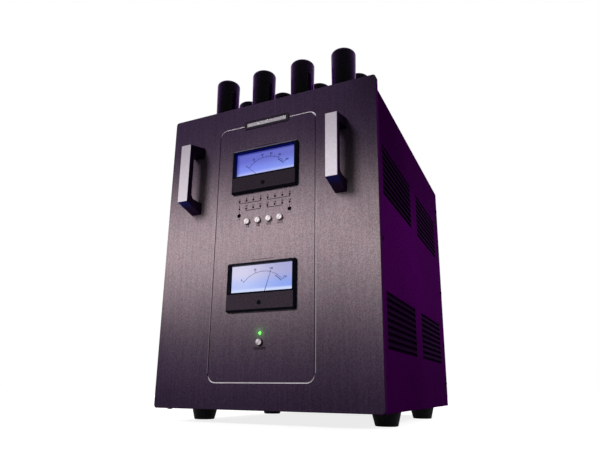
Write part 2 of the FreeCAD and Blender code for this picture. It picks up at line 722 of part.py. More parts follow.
def make_button(name, x, z):
    """A dished cap with a collar behind the panel and a stem into its switch."""
    front = FACE_Y - BUTTON_PROUD
    collar_y = BACK_Y + BUTTON_COLLAR_GAP
    back = collar_y + BUTTON_COLLAR_THICK
    cap = rod_y(BUTTON_RADIUS, x, z, (front, back))
    rim = [e for e in cap.Edges if e.BoundBox.YMax < front + 0.01]
    cap = cap.makeFillet(BUTTON_DISH, rim)
    ball = ball_radius(BUTTON_RADIUS, BUTTON_DISH)
    dish = Part.makeSphere(ball, V(x, front + BUTTON_DISH - ball, z))
    collar = rod_y(BUTTON_RADIUS + BUTTON_COLLAR_LIP, x, z, (collar_y, back))
    stem = rod_y(BUTTON_STEM_RADIUS, x, z, (back, BOARD_Y - SWITCH_DEEP + SWITCH_STEM_IN))
    save(name, cap.cut(dish).fuse([collar, stem]))


def button_switch(x, z):
    """A push switch on its board, with the bore that its button's stem slides in."""
    half = SWITCH_WIDE / 2
    body = box((x - half, x + half), (BOARD_Y - SWITCH_DEEP, BOARD_Y), (z - half, z + half))
    deep = BOARD_Y - SWITCH_DEEP + SWITCH_STEM_IN + BUTTON_TRAVEL + LIE_GAP
    return body.cut(rod_y(BUTTON_STEM_RADIUS + RUN_GAP, x, z, (BOARD_Y - SWITCH_DEEP - PAST, deep)))


def trimmer_can(x):
    """The soldered body of a bias trimmer."""
    half = TRIMMER_CAN / 2
    depth = (BOARD_Y - TRIMMER_CAN_DEEP, BOARD_Y)
    body = box((x - half, x + half), depth, (TRIMMER_Z - half, TRIMMER_Z + half))
    bore = (depth[0] - PAST, BOARD_Y - TRIMMER_FLOOR)
    return body.cut(rod_y(TRIMMER_SHAFT_RADIUS + RUN_GAP, x, TRIMMER_Z, bore))


def make_trimmer(name, x):
    """The slotted rotor that a screwdriver reaches through the panel."""
    neck = BOARD_Y - TRIMMER_CAN_DEEP - LIE_GAP
    front = FACE_Y + TRIMMER_RECESS
    head = rod_y(TRIMMER_HEAD_RADIUS, x, TRIMMER_Z, (front, neck))
    shaft = rod_y(TRIMMER_SHAFT_RADIUS, x, TRIMMER_Z, (neck, BOARD_Y - TRIMMER_FLOOR - LIE_GAP))
    half = SLOT_WIDE / 2
    across = (x - TRIMMER_HEAD_RADIUS, x + TRIMMER_HEAD_RADIUS)
    slot = box(across, (front - PAST, front + SLOT_DEEP * 2), (TRIMMER_Z - half, TRIMMER_Z + half))
    save(name, head.fuse(shaft).cut(slot))


def board(x, z):
    """A circuit board behind the panel with four standoffs, as separate solids."""
    pieces = [box(x, (BOARD_Y, BOARD_Y + BOARD_THICK), z)]
    for sx in (x[0] + STANDOFF_IN, x[1] - STANDOFF_IN):
        for sz in (z[0] + STANDOFF_IN, z[1] - STANDOFF_IN):
            pieces.append(rod_y(STANDOFF_RADIUS, sx, sz, (BACK_Y, BOARD_Y)))
    return pieces


def make_controls():
    save("tube_status_lamps", *[lamp(x, z) for x, z in lamp_places()])
    save("power_lamp", lamp(0, POWER_LAMP_Z))
    for i, (x, z) in enumerate(button_places()):
        make_button("power_button" if i == BUTTON_COUNT else f"meter_button_{i + 1}", x, z)
    make_trimmer("bias_trimmer_left", -LAMP_LAST_X)
    make_trimmer("bias_trimmer_right", LAMP_LAST_X)

    half = LAMP_LAST_X + BOARD_EDGE * 2
    low = BUTTON_Z - SWITCH_WIDE / 2 - BOARD_EDGE
    top = BIAS_METER_Z - LAMP_DROPS[0] + BOARD_EDGE
    pieces = board((-half, half), (low, top))
    power_low = POWER_BUTTON_Z - SWITCH_WIDE / 2 - BOARD_EDGE
    pieces += board((-POWER_BOARD_HALF, POWER_BOARD_HALF), (power_low, POWER_LAMP_Z + BOARD_EDGE))
    pieces += [button_switch(x, z) for x, z in button_places()]
    pieces += [trimmer_can(-LAMP_LAST_X), trimmer_can(LAMP_LAST_X)]
    save("control_boards", *pieces)


# Covers and frame

def vent(axis, u, v_mid, w, rows=SLOTS_PER_VENT):
    """A column of long slots through a cover."""
    half = SLOT_HIGH / 2
    steps = centred(rows, SLOT_PITCH)
    return [slab(axis, u, (v_mid + dv - half, v_mid + dv + half), w, half) for dv in steps]


def make_side_cover(name, sign):
    """A side cover with two rows of two vents."""
    x = sorted((sign * INNER_HALF, sign * BODY_HALF))
    cover = box(x, (BACK_Y, REAR_Y), (BASE_Z, DECK_Z))
    through = (x[0] - PAST, x[1] + PAST)
    front = (BACK_Y + VENT_FROM_FRONT, BACK_Y + VENT_FROM_FRONT + VENT_LONG)
    rear = (REAR_Y - VENT_FROM_REAR - VENT_LONG, REAR_Y - VENT_FROM_REAR)
    slots = []
    for z in (BASE_Z + VENT_CENTRE_IN, DECK_Z - VENT_CENTRE_IN):
        slots += vent("x", front, z, through) + vent("x", rear, z, through)
    save(name, cover.cut(slots + holes_for(name.removeprefix("side_cover_"))))


def tube_places():
    """(x, y) of the output tubes, row by row from the front."""
    first = BACK_Y + TUBE_FROM_PANEL
    rows = [first + TUBE_PITCH * i for i in range(TUBE_ROWS)]
    return [(x, y) for y in rows for x in centred(TUBE_COLUMNS, TUBE_PITCH)]


def make_top_deck():
    deck = box((-INNER_HALF, INNER_HALF), (BACK_Y, REAR_Y), (CEILING_Z, DECK_Z))
    through = (CEILING_Z - PAST, DECK_Z + PAST)
    hole = SOCKET_RADIUS + DECK_HOLE_GAP
    cuts = [rod_z(hole, x, y, through) for x, y in tube_places()]
    half = SLOT_HIGH / 2
    long_half = TUBE_PITCH / 4
    for x in centred(TUBE_COLUMNS, TUBE_PITCH):
        for row in range(TUBE_ROWS):
            between = BACK_Y + TUBE_FROM_PANEL + TUBE_PITCH * (row + 0.5)
            for dy in (-SLOT_PITCH, 0, SLOT_PITCH):
                span = (between + dy - half, between + dy + half)
                cuts.append(slab("z", (x - long_half, x + long_half), span, through, half))
    start = tube_places()[-1][1] + hole + DECK_VENT_MARGIN
    end = INNER_REAR_Y - DECK_VENT_MARGIN
    rows = 1 + int((end - start - SLOT_HIGH) / SLOT_PITCH)
    gap = SLOT_PITCH
    for u in ((-POST_IN_X + gap, -gap), (gap, POST_IN_X - gap)):
        cuts += vent("z", u, (start + end) / 2, through, rows)
    save("top_deck", deck.cut(cuts + holes_for("deck")))


def make_bottom_plate():
    plate = box((-INNER_HALF, INNER_HALF), (BACK_Y, REAR_Y), (BASE_Z, FLOOR_Z))
    through = (BASE_Z - PAST, FLOOR_Z + PAST)
    cuts = [rod_z(FOOT_STUD_RADIUS + LIE_GAP, x, y, through) for x, y in foot_places()]
    save("bottom_plate", plate.cut(cuts + holes_for("bottom")))


def rear_cut(x, up, size):
    """A rectangular opening in the rear panel for a fitting's body."""
    half_x = size[0] / 2 + LIE_GAP
    half_z = size[1] / 2 + LIE_GAP
    z = BASE_Z + up
    return box((x - half_x, x + half_x), (INNER_REAR_Y - PAST, REAR_Y + PAST), (z - half_z, z + half_z))


def make_rear_panel():
    panel = box((-INNER_HALF, INNER_HALF), (INNER_REAR_Y, REAR_Y), (FLOOR_Z, CEILING_Z))
    through = (INNER_REAR_Y - PAST, REAR_Y + PAST)
    cuts = [rear_cut(INLET_X, INLET_UP, INLET_BODY)]
    cuts += [rod_y(XLR_RADIUS + LIE_GAP, XLR_X, BASE_Z + XLR_UP, through)]
    cuts += [rod_y(POST_RADIUS + LIE_GAP, x, BASE_Z + POST_UP, through) for x in speaker_post_places()]
    for sign in (-1, 1):
        u = sorted((sign * SLOT_PITCH, sign * (SLOT_PITCH + REAR_VENT_LONG)))
        cuts += vent("y", u, BASE_Z + REAR_VENT_UP, through)
    save("rear_panel", panel.cut(cuts + holes_for("rear")))


def make_chassis_frame():
    """Four corner posts and the shelf between them, as separate solids."""
    solids = []
    holes = [screw_hole(*at, direction, RUN_GAP) for _, at, direction in cover_screw_places()]
    post_back = BACK_Y + CORNER_POST
    for x, z in panel_bolt_places():
        holes.append(rod_y(BOLT_RADIUS + LIE_GAP, x, z, (BACK_Y - PAST, post_back + PAST)))
        holes.append(rod_y(BOLT_HEAD_RADIUS + LIE_GAP, x, z, (BOLT_SEAT_Y, post_back + PAST)))
    for sign in (-1, 1):
        x = sorted((sign * POST_IN_X, sign * INNER_HALF))
        for y in ((BACK_Y, BACK_Y + CORNER_POST), (INNER_REAR_Y - CORNER_POST, INNER_REAR_Y)):
            post = box(x, y, (FLOOR_Z, CEILING_Z))
            solids.append(post.cut([h for h in holes if h.BoundBox.intersect(post.BoundBox)]))
    shelf_y = (BACK_Y + CORNER_POST, INNER_REAR_Y - CORNER_POST)
    shelf = box((-INNER_HALF, INNER_HALF), shelf_y, (SHELF_Z, SHELF_Z + SHELF_THICK))
    half = CAN_HALF + SHELF_NOTCH_GAP
    notch_y = (BACK_Y, METER_FACE_Y + METER_DEEP + SHELF_NOTCH_GAP)
    solids.append(shelf.cut(box((-half, half), notch_y, (SHELF_Z - PAST, SHELF_Z + SHELF_THICK + PAST))))
    save("chassis_frame", *solids)


def foot_places():
    """(x, y) of the four feet."""
    x = BODY_HALF - FOOT_X_IN
    return [(sx, FACE_Y + y) for sx in (-x, x) for y in (FOOT_FRONT, FOOT_REAR)]


def make_feet():
    """Tapered feet, each with a moulded-in stud and its nut on the bottom plate."""
    solids = []
    for x, y in foot_places():
        foot = Part.makeCone(FOOT_BOTTOM_RADIUS, FOOT_TOP_RADIUS, FOOT_HEIGHT, V(x, y, 0), V(0, 0, 1))
        rim = [e for e in foot.Edges if e.BoundBox.ZMax < 0.01]
        foot = foot.makeFillet(FOOT_EDGE, rim)
        stud = rod_z(FOOT_STUD_RADIUS, x, y, (BASE_Z, BASE_Z + FOOT_STUD_LONG))
        solids.append(foot.fuse(stud))
        nut = rod_z(FOOT_NUT_RADIUS, x, y, (FLOOR_Z, FLOOR_Z + FOOT_NUT_THICK))
        bore = rod_z(FOOT_STUD_RADIUS + RUN_GAP, x, y, (FLOOR_Z - PAST, FLOOR_Z + FOOT_NUT_THICK + PAST))
        solids.append(nut.cut(bore))
    save("feet", *solids)


# Output tubes

def bulb_outline(wall):
    """The bulb's outline from its foot to its crown, moved inwards by a wall.

    The crown's arc is centred on the axis, and the shoulder's arc is tangent to it and to the side.
    """
    shoulder = TUBE_SHOULDER_RADIUS
    crown = TUBE_CROWN_RADIUS
    across = TUBE_RADIUS - shoulder
    crown_z = TUBE_TALL - crown
    shoulder_z = crown_z + math.sqrt((crown - shoulder) ** 2 - across**2)
    lean = math.asin(across / (crown - shoulder))
    meet = (crown - wall) * math.sin(lean), crown_z + (crown - wall) * math.cos(lean)
    sweep = math.pi / 2 - lean
    neck = TUBE_BASE_RADIUS - TUBE_BASE_WALL - TUBE_BASE_GAP
    return [
        (neck - wall, TUBE_BASE_FLOOR),
        (neck - wall, TUBE_BASE_TALL),
        (TUBE_LOW_RADIUS - wall, TUBE_WAIST),
        (TUBE_RADIUS - wall, shoulder_z),
        meet + ((shoulder - wall) * (1 - math.cos(sweep / 2)),),
        (0, TUBE_TALL - wall, (crown - wall) * (1 - math.cos(lean / 2))),
    ]


def make_output_tube(name, x, y):
    """Base with pins and key, glass bulb, and the plates inside, as three solids."""
    rim_z = TUBE_BASE_FLOOR
    inner_base = TUBE_BASE_RADIUS - TUBE_BASE_WALL
    base = turned(
        [(0, 0), (TUBE_BASE_RADIUS, 0), (TUBE_BASE_RADIUS, TUBE_BASE_TALL),
         (inner_base, TUBE_BASE_TALL), (inner_base, rim_z), (0, rim_z)],
        x, y, SEAT_Z,
    )
    legs = [rod_z(KEY_RADIUS, x, y, (SEAT_Z - KEY_LONG, SEAT_Z))]
    for px, py in pin_places(x, y):
        legs.append(rod_z(PIN_RADIUS, px, py, (SEAT_Z - PIN_LONG, SEAT_Z)))
    base = base.fuse(legs)

    outside = bulb_outline(0)
    inside = bulb_outline(TUBE_WALL)
    # down the inside, so each arc now leads to the point that it started from
    back = [inside[-1][:2]]
    for before, after in zip(inside[-2::-1], inside[:0:-1]):
        bulge = tuple(-b for b in after[2:])
        back.append(before[:2] + bulge)
    bulb = turned(outside + back, x, y, SEAT_Z)

    stem = rod_z(CAGE_STEM_RADIUS, x, y, (SEAT_Z + rim_z, SEAT_Z + CAGE_LOW))
    plates = slab(
        "z",
        (x - CAGE_WIDE / 2, x + CAGE_WIDE / 2),
        (y - CAGE_DEEP / 2, y + CAGE_DEEP / 2),
        (SEAT_Z + CAGE_LOW, SEAT_Z + CAGE_TOP),
        CAGE_DEEP / 4,
    )
    mica = TUBE_LOW_RADIUS - TUBE_WALL - MICA_GAP
    micas = [rod_z(mica, x, y, (SEAT_Z + z - MICA_THICK, SEAT_Z + z)) for z in (CAGE_LOW, CAGE_TOP)]
    getter = rod_z(GETTER_RADIUS, x, y, (SEAT_Z + CAGE_TOP, SEAT_Z + CAGE_TOP + GETTER_TALL))
    save(name, bulb, base, plates.fuse([stem, getter] + micas))


def pin_places(x, y):
    """(x, y) of the pins of the tube that stands at (x, y)."""
    turn = 2 * math.pi / PIN_COUNT
    angles = [turn * (i + 0.5) for i in range(PIN_COUNT)]
    return [(x + PIN_CIRCLE * math.cos(a), y + PIN_CIRCLE * math.sin(a)) for a in angles]


def tube_socket(x, y):
    """A ring of contacts that stands on the tube board and rises a little above the deck."""
    body = rod_z(SOCKET_RADIUS, x, y, (SOCKET_Z, SEAT_Z))
    holes = [rod_z(KEY_RADIUS + PLUG_GAP, x, y, (SEAT_Z - KEY_LONG - END_GAP, SEAT_Z + PAST))]
    for px, py in pin_places(x, y):
        holes.append(rod_z(PIN_RADIUS + PLUG_GAP, px, py, (SEAT_Z - PIN_LONG - END_GAP, SEAT_Z + PAST)))
    return body.cut(holes)


def make_tubes_and_sockets():
    for i, (x, y) in enumerate(tube_places()):
        make_output_tube(f"output_tube_{i + 1:02d}", x, y)
    save("tube_sockets", *[tube_socket(x, y) for x, y in tube_places()])

    half = TUBE_PITCH * (TUBE_COLUMNS - 1) / 2 + TUBE_BOARD_MARGIN
    first = BACK_Y + TUBE_FROM_PANEL - TUBE_BOARD_MARGIN
    last = BACK_Y + TUBE_FROM_PANEL + TUBE_PITCH * (TUBE_ROWS - 1) + TUBE_BOARD_MARGIN
    solids = [box((-half, half), (first, last), (SOCKET_Z - TUBE_BOARD_THICK, SOCKET_Z))]
    for x in (-TUBE_PITCH, 0, TUBE_PITCH):
        for row in (0, TUBE_ROWS - 2):
            y = BACK_Y + TUBE_FROM_PANEL + TUBE_PITCH * (row + 0.5)
            solids.append(rod_z(STANDOFF_RADIUS, x, y, (SOCKET_Z, CEILING_Z)))
    save("tube_board", *solids)


# Inside the chassis

def make_transformer(name, y, core, coil_deep):
    """A laminated core on the bottom plate, and its coil round the middle limb."""
    wide, deep, tall = core
    outer = box((-wide / 2, wide / 2), (y - deep / 2, y + deep / 2), (FLOOR_Z, FLOOR_Z + tall))
    limb = TRANSFORMER_LIMB / 2
    window_x = (limb, wide / 2 - limb)
    window_z = (FLOOR_Z + limb, FLOOR_Z + tall - limb)
    through = (y - deep / 2 - PAST, y + deep / 2 + PAST)
    windows = [box(window_x, through, window_z), box((-window_x[1], -window_x[0]), through, window_z)]
    laminations = outer.cut(windows)

    gap = TRANSFORMER_COIL_GAP
    half = window_x[1] - gap
    depth = (y - coil_deep / 2, y + coil_deep / 2)
    heights = (window_z[0] + gap, window_z[1] - gap)
    coil = slab("z", (-half, half), depth, heights, TRANSFORMER_COIL_CORNER)
    room = box((-limb - gap, limb + gap), (y - deep / 2 - gap, y + deep / 2 + gap), (FLOOR_Z, FLOOR_Z + tall))
    save(name, laminations, coil.cut(room))


def make_filter_capacitors():
    cans = []
    bottom = SHELF_Z + SHELF_THICK
    for y in centred(CAN_ROWS, CAN_PITCH_Y):
        for x in centred(CAN_COLUMNS, CAN_PITCH_X):
            at_y = BACK_Y + CAN_FROM_PANEL + y
            can = rod_z(CAN_RADIUS, x, at_y, (bottom, bottom + CAN_TALL))
            can = can.makeFillet(CAN_EDGE, [e for e in can.Edges if isinstance(e.Curve, Part.Circle)])
            rise = (bottom + CAN_TALL, bottom + CAN_TALL + CAN_TERMINAL_TALL)
            ends = (x - CAN_RADIUS / 2, x + CAN_RADIUS / 2)
            cans.append(can.fuse([rod_z(CAN_TERMINAL_RADIUS, at_x, at_y, rise) for at_x in ends]))
    save("filter_capacitors", *cans)


def make_driver_board():
    """The small tubes that drive the output tubes, on their board above the shelf."""
    y = BACK_Y + DRIVER_FROM_PANEL
    low = SHELF_Z + SHELF_THICK
    under = low + DRIVER_STANDOFF
    top = under + BOARD_THICK
    half = DRIVER_PITCH * DRIVER_COUNT / 2
    depth = (y - DRIVER_BOARD_DEEP / 2, y + DRIVER_BOARD_DEEP / 2)
    solids = [box((-half, half), depth, (under, top))]
    for x in (-half + BOARD_EDGE, half - BOARD_EDGE):
        for sy in (depth[0] + BOARD_EDGE, depth[1] - BOARD_EDGE):
            solids.append(rod_z(STANDOFF_RADIUS, x, sy, (low, under)))
    shoulder = DRIVER_TALL - DRIVER_DOME
    ball = ball_radius(DRIVER_RADIUS, DRIVER_DOME)
    bulge = ball * (1 - math.cos(math.asin(DRIVER_RADIUS / ball) / 2))
    outline = [(0, 0), (DRIVER_RADIUS, 0), (DRIVER_RADIUS, shoulder), (0, DRIVER_TALL, bulge)]
    solids += [turned(outline, x, y, top) for x in centred(DRIVER_COUNT, DRIVER_PITCH)]
    save("driver_board", *solids)


# Rear fittings

def speaker_post_places():
    """X of the two speaker posts."""
    return [POST_X - POST_PITCH / 2, POST_X + POST_PITCH / 2]


def make_mains_inlet():
    """A mains inlet with its mouth to the back and three blades inside."""
    z = BASE_Z + INLET_UP
    spans = []
    for size in (INLET_FLANGE, INLET_BODY, INLET_MOUTH):
        spans.append(((INLET_X - size[0] / 2, INLET_X + size[0] / 2), (z - size[1] / 2, z + size[1] / 2)))
    flange = slab("y", *spans[0], (REAR_Y, REAR_Y + FLANGE_THICK), INLET_CORNER)
    body = box(spans[1][0], (REAR_Y + FLANGE_THICK - INLET_DEEP, REAR_Y), spans[1][1])
    mouth_y = (REAR_Y + FLANGE_THICK - INLET_MOUTH_DEEP, REAR_Y + FLANGE_THICK + PAST)
    mouth = slab("y", *spans[2], mouth_y, INLET_CORNER)
    inlet = flange.fuse(body).cut(mouth)
    wide, thick, long = INLET_PIN
    blades = []
    half_rise = INLET_EARTH_RISE / 2
    for x, dz in ((-INLET_PIN_PITCH, -half_rise), (0, half_rise), (INLET_PIN_PITCH, -half_rise)):
        across = (INLET_X + x - thick / 2, INLET_X + x + thick / 2)
        heights = (z + dz - wide / 2, z + dz + wide / 2)
        blades.append(box(across, (mouth_y[0], mouth_y[0] + long), heights))
    save("mains_inlet", inlet.fuse(blades))


def make_input_socket():
    """A three-contact input socket."""
    z = BASE_Z + XLR_UP
    across = (XLR_X - XLR_FLANGE[0] / 2, XLR_X + XLR_FLANGE[0] / 2)
    upright = (z - XLR_FLANGE[1] / 2, z + XLR_FLANGE[1] / 2)
    flange = slab("y", across, upright, (REAR_Y, REAR_Y + FLANGE_THICK), XLR_CORNER)
    body = rod_y(XLR_RADIUS, XLR_X, z, (REAR_Y - XLR_DEEP, REAR_Y))
    face = REAR_Y + FLANGE_THICK
    contacts = []
    for angle in (90, 210, 330):
        dx = XLR_HOLE_CIRCLE * math.cos(math.radians(angle))
        dz = XLR_HOLE_CIRCLE * math.sin(math.radians(angle))
        contacts.append(rod_y(XLR_HOLE_RADIUS, XLR_X + dx, z - dz, (face - XLR_HOLE_DEEP, face + PAST)))
    depth = (face - XLR_HOLE_DEEP, face + PAST)
    ring = rod_y(XLR_RING_RADIUS, XLR_X, z, depth)
    ring = ring.cut(rod_y(XLR_RING_RADIUS - XLR_RING_WIDE, XLR_X, z, depth))
    save("input_socket", flange.fuse(body).cut([ring] + contacts))


def make_speaker_posts():
    """Brass studs with a collar outside and a nut inside the rear panel, and the nuts on them."""
    z = BASE_Z + POST_UP
    nut_front = REAR_Y + POST_COLLAR_THICK + LIE_GAP
    nut_back = nut_front + NUT_LONG
    studs = []
    for name, x in zip(("speaker_nut_black", "speaker_nut_red"), speaker_post_places()):
        stud = rod_y(POST_RADIUS, x, z, (REAR_Y - POST_INSIDE, REAR_Y + POST_REACH))
        collar = rod_y(POST_COLLAR_RADIUS, x, z, (REAR_Y, REAR_Y + POST_COLLAR_THICK))
        inner = rod_y(POST_COLLAR_RADIUS, x, z, (INNER_REAR_Y - FLANGE_THICK, INNER_REAR_Y))
        tip = REAR_Y + POST_REACH
        bore = rod_y(POST_BORE_RADIUS, x, z, (tip - POST_BORE_DEEP, tip + PAST))
        studs.append(stud.fuse([collar, inner]).cut(bore))

        nut = rod_y(NUT_RADIUS, x, z, (nut_front, nut_back))
        nut = nut.makeFillet(NUT_EDGE, [e for e in nut.Edges if isinstance(e.Curve, Part.Circle)])
        cuts = [rod_y(POST_RADIUS + RUN_GAP, x, z, (nut_front - PAST, nut_back + PAST))]
        for i in range(NUT_FLUTES):
            turn = 2 * math.pi * i / NUT_FLUTES
            reach = NUT_RADIUS + NUT_FLUTE_OUT
            fx = x + reach * math.cos(turn)
            fz = z + reach * math.sin(turn)
            cuts.append(rod_y(NUT_FLUTE_RADIUS, fx, fz, (nut_front - PAST, nut_back + PAST)))
        save(name, nut.cut(cuts))
    save("speaker_posts", *studs)


def main():
    os.makedirs("parts", exist_ok=True)
    make_front_panel()
    make_nameplate()
    make_handle("handle_left", -HANDLE_X)
    make_handle("handle_right", HANDLE_X)
    make_panel_bolts()
    make_meters()
    make_controls()
    make_side_cover("side_cover_left", -1)
    make_side_cover("side_cover_right", 1)
    make_top_deck()
    make_bottom_plate()
    make_rear_panel()
    make_chassis_frame()
    make_cover_screws()
    make_feet()
    make_tubes_and_sockets()
    output_y = BACK_Y + OUTPUT_FROM_PANEL
    power_y = output_y + OUTPUT_COIL_DEEP / 2 + TRANSFORMER_SPACE + POWER_COIL_DEEP / 2
    make_transformer("output_transformer", output_y, OUTPUT_CORE, OUTPUT_COIL_DEEP)
    make_transformer("power_transformer", power_y, POWER_CORE, POWER_COIL_DEEP)
    make_filter_capacitors()
    make_driver_board()
    make_mains_inlet()
    make_input_socket()
    make_speaker_posts()


main()
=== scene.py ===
"""The looks of a tube power amplifier with a tall front panel, built round its fixed CAD frame.

CAD parts whose shape is right keep it and get a finish here. The output tubes and the nameplate
are modelled anew in their places. The panel's prints, the meters' scales and strips, the power
lamp's dome and a dark gauze behind the side vents, which stands in as painted shade for the inside
of the case, are added. All sizes are in metres, in the frame's own coordinates: the panel faces -Y,
and Z is up.
"""
import functools
import logging
import math
from dataclasses import dataclass
from enum import Enum

import bpy
from mathutils import Matrix, Vector


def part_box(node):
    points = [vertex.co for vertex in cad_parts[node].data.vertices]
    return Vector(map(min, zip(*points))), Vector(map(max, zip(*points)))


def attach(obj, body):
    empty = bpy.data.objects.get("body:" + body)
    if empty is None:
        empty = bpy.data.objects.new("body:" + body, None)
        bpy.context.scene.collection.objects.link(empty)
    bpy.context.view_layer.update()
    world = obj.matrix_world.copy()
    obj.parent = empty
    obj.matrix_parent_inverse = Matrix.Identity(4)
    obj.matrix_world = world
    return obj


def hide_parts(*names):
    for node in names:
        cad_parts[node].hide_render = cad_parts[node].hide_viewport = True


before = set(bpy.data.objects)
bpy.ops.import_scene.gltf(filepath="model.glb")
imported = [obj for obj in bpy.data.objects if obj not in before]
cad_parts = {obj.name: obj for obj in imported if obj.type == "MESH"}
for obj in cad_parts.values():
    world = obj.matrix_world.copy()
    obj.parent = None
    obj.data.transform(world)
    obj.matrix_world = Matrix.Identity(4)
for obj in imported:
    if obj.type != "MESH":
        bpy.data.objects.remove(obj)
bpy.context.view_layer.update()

MM = 0.001
INK_THICK = 0.06 * MM
WEAR_REACH = 0.8 * MM                # how far from a sharp edge it is rubbed
DUST_TINT = (0.3, 0.28, 0.3)
BLACK = (0.0, 0.0, 0.0)
WHITE = (1.0, 1.0, 1.0)

Colour = tuple[float, float, float]
Span = tuple[float, float]
Window = tuple[float, float, float, float]       # left, right, low and high
Socket = bpy.types.NodeSocket

log = logging.getLogger("amplifier")


# Building shader nodes

class Graph:
    """Adds nodes to one material or node group and joins them."""

    def __init__(self, tree: bpy.types.NodeTree) -> None:
        """Keep the node tree that is built on."""
        self.tree = tree

    def feed(self, socket: Socket, value: object) -> None:
        """Join a socket to another node's output, or give it a fixed value.

        Args:
            socket: The input to set.
            value: An output socket, a number, a vector or a colour.
        """
        if isinstance(value, Socket):
            self.tree.links.new(value, socket)
        elif socket.type == "RGBA" and len(value) == 3:
            socket.default_value = (*value, 1.0)
        else:
            socket.default_value = value

    def add(self, kind: str, feeds: dict | None = None, **settings: object) -> bpy.types.Node:
        """Add a shader node.

        Args:
            kind: The node's type, without its first word.
            feeds: What each of its inputs gets, by name or number.
            settings: Its properties.

        Returns:
            The new node.
        """
        node = self.tree.nodes.new("ShaderNode" + kind)
        for name, setting in settings.items():
            setattr(node, name, setting)
        for name, value in (feeds or {}).items():
            self.feed(node.inputs[name], value)
        return node

    def maths(self, operation: str, first: object, second: object = 0.0) -> Socket:
        """Work out one number from two, or from one."""
        return self.add("Math", {0: first, 1: second}, operation=operation).outputs[0]

    def product(self, *values: object) -> Socket:
        """Multiply several numbers together."""
        return functools.reduce(lambda a, b: self.maths("MULTIPLY", a, b), values)

    def spread(self, value: object, start: float, end: float, low: float = 0.0, high: float = 1.0) -> Socket:
        """Turn a range of values smoothly into another.

        Args:
            value: The socket to read.
            start: The value that gives low.
            end: The value that gives high.
            low: The result at the start.
            high: The result at the end.

        Returns:
            The result's socket.
        """
        feeds = {"Value": value, "From Min": start, "From Max": end, "To Min": low, "To Max": high}
        return self.add("MapRange", feeds, interpolation_type="SMOOTHSTEP").outputs[0]

    def even_spread(self, value: Socket, start: float, end: float) -> Socket:
        """Turn a range of values evenly into 0 to 1."""
        return self.add("MapRange", {"Value": value, "From Min": start, "From Max": end}).outputs[0]

    def between(self, value: Socket, low: float, high: float) -> Socket:
        """A mask that is 1 where a value lies between two others, and 0 elsewhere."""
        above = self.maths("GREATER_THAN", value, low)
        return self.product(above, self.maths("LESS_THAN", value, high))

    def bell(self, value: Socket, middle: float, reach: object) -> Socket:
        """A soft hump that is 1 at the middle and has fallen to about a third at the reach."""
        ratio = self.maths("DIVIDE", self.maths("SUBTRACT", value, middle), reach)
        return self.maths("EXPONENT", self.product(ratio, ratio, -1.0))

    def wave(self, value: Socket, pitch: float) -> Socket:
        """An even ripple between -1 and 1 that comes back once in every pitch."""
        return self.maths("SINE", self.maths("DIVIDE", value, pitch / (2 * math.pi)))

    def noise(self, place: Socket, size: float, detail: float = 2.0) -> Socket:
        """Soft noise whose lumps are about so large, in metres."""
        return self.add("TexNoise", {"Vector": place, "Scale": 1.0 / size, "Detail": detail}).outputs[0]

    def stretched(self, place: Socket, stretch: object) -> Socket:
        """A place with its three numbers multiplied by three others."""
        return self.add("VectorMath", {0: place, 1: stretch}, operation="MULTIPLY").outputs[0]

    def split(self, vector: Socket) -> tuple[Socket, Socket, Socket]:
        """Take a vector apart into its three numbers."""
        node = self.add("SeparateXYZ", {0: vector})
        return node.outputs[0], node.outputs[1], node.outputs[2]

    def facing(self) -> tuple[Socket, Socket, Socket]:
        """How far the surface faces along X, Y and Z."""
        return self.split(self.add("NewGeometry").outputs["Normal"])

    def apart(self, place: Socket, centre: Span) -> tuple[Socket, Socket, Socket]:
        """How far a place is from an axis along Y.

        Args:
            place: The place's socket.
            centre: The axis's (x, z).

        Returns:
            The distances across, up and straight.
        """
        x, _, z = self.split(place)
        across = self.maths("SUBTRACT", x, centre[0])
        up = self.maths("SUBTRACT", z, centre[1])
        straight = self.maths("SQRT", self.maths("ADD", self.product(across, across), self.product(up, up)))
        return across, up, straight

    def blend(self, share: object, first: object, second: object, how: str = "MIX") -> Socket:
        """Mix two colours.

        Args:
            share: How much of the second there is.
            first: A colour or its socket.
            second: The other colour or socket.
            how: The way of blending.

        Returns:
            The mixed colour's socket.
        """
        feeds = {0: share, 6: first, 7: second}
        return self.add("Mix", feeds, data_type="RGBA", blend_type=how).outputs[2]

    def scaled(self, colour: object, level: Socket) -> Socket:
        """A colour made lighter or darker by a number."""
        grey = self.add("CombineColor", {0: level, 1: level, 2: level}).outputs[0]
        return self.blend(1.0, colour, grey, "MULTIPLY")

    def group(self, tree: bpy.types.NodeTree, feeds: dict) -> bpy.types.Node:
        """Place a shared effect.

        Args:
            tree: The effect's node group.
            feeds: What its inputs get.

        Returns:
            The group's node.
        """
        node = self.tree.nodes.new("ShaderNodeGroup")
        node.node_tree = tree
        for name, value in feeds.items():
            self.feed(node.inputs[name], value)
        return node


def blank_graph(owner: bpy.types.Material | bpy.types.World) -> Graph:
    """Start a material or a world from nothing.

    Args:
        owner: The material or world.

    Returns:
        The graph to build on.
    """
    owner.use_nodes = True
    owner.node_tree.nodes.clear()
    return Graph(owner.node_tree)


def new_effect(
    name: str, takes: dict[str, str], gives: dict[str, str],
) -> tuple[Graph, bpy.types.Node, bpy.types.Node]:
    """Start a node group that several finishes share.

    Args:
        name: What the effect is called.
        takes: Its inputs and their kinds.
        gives: Its outputs and their kinds.

    Returns:
        The graph to build on, the node with the inputs and the node that takes the outputs.
    """
    tree = bpy.data.node_groups.new(name, "ShaderNodeTree")
    for sockets, way in ((takes, "INPUT"), (gives, "OUTPUT")):
        for label, kind in sockets.items():
            tree.interface.new_socket(label, in_out=way, socket_type="NodeSocket" + kind)
    return Graph(tree), tree.nodes.new("NodeGroupInput"), tree.nodes.new("NodeGroupOutput")


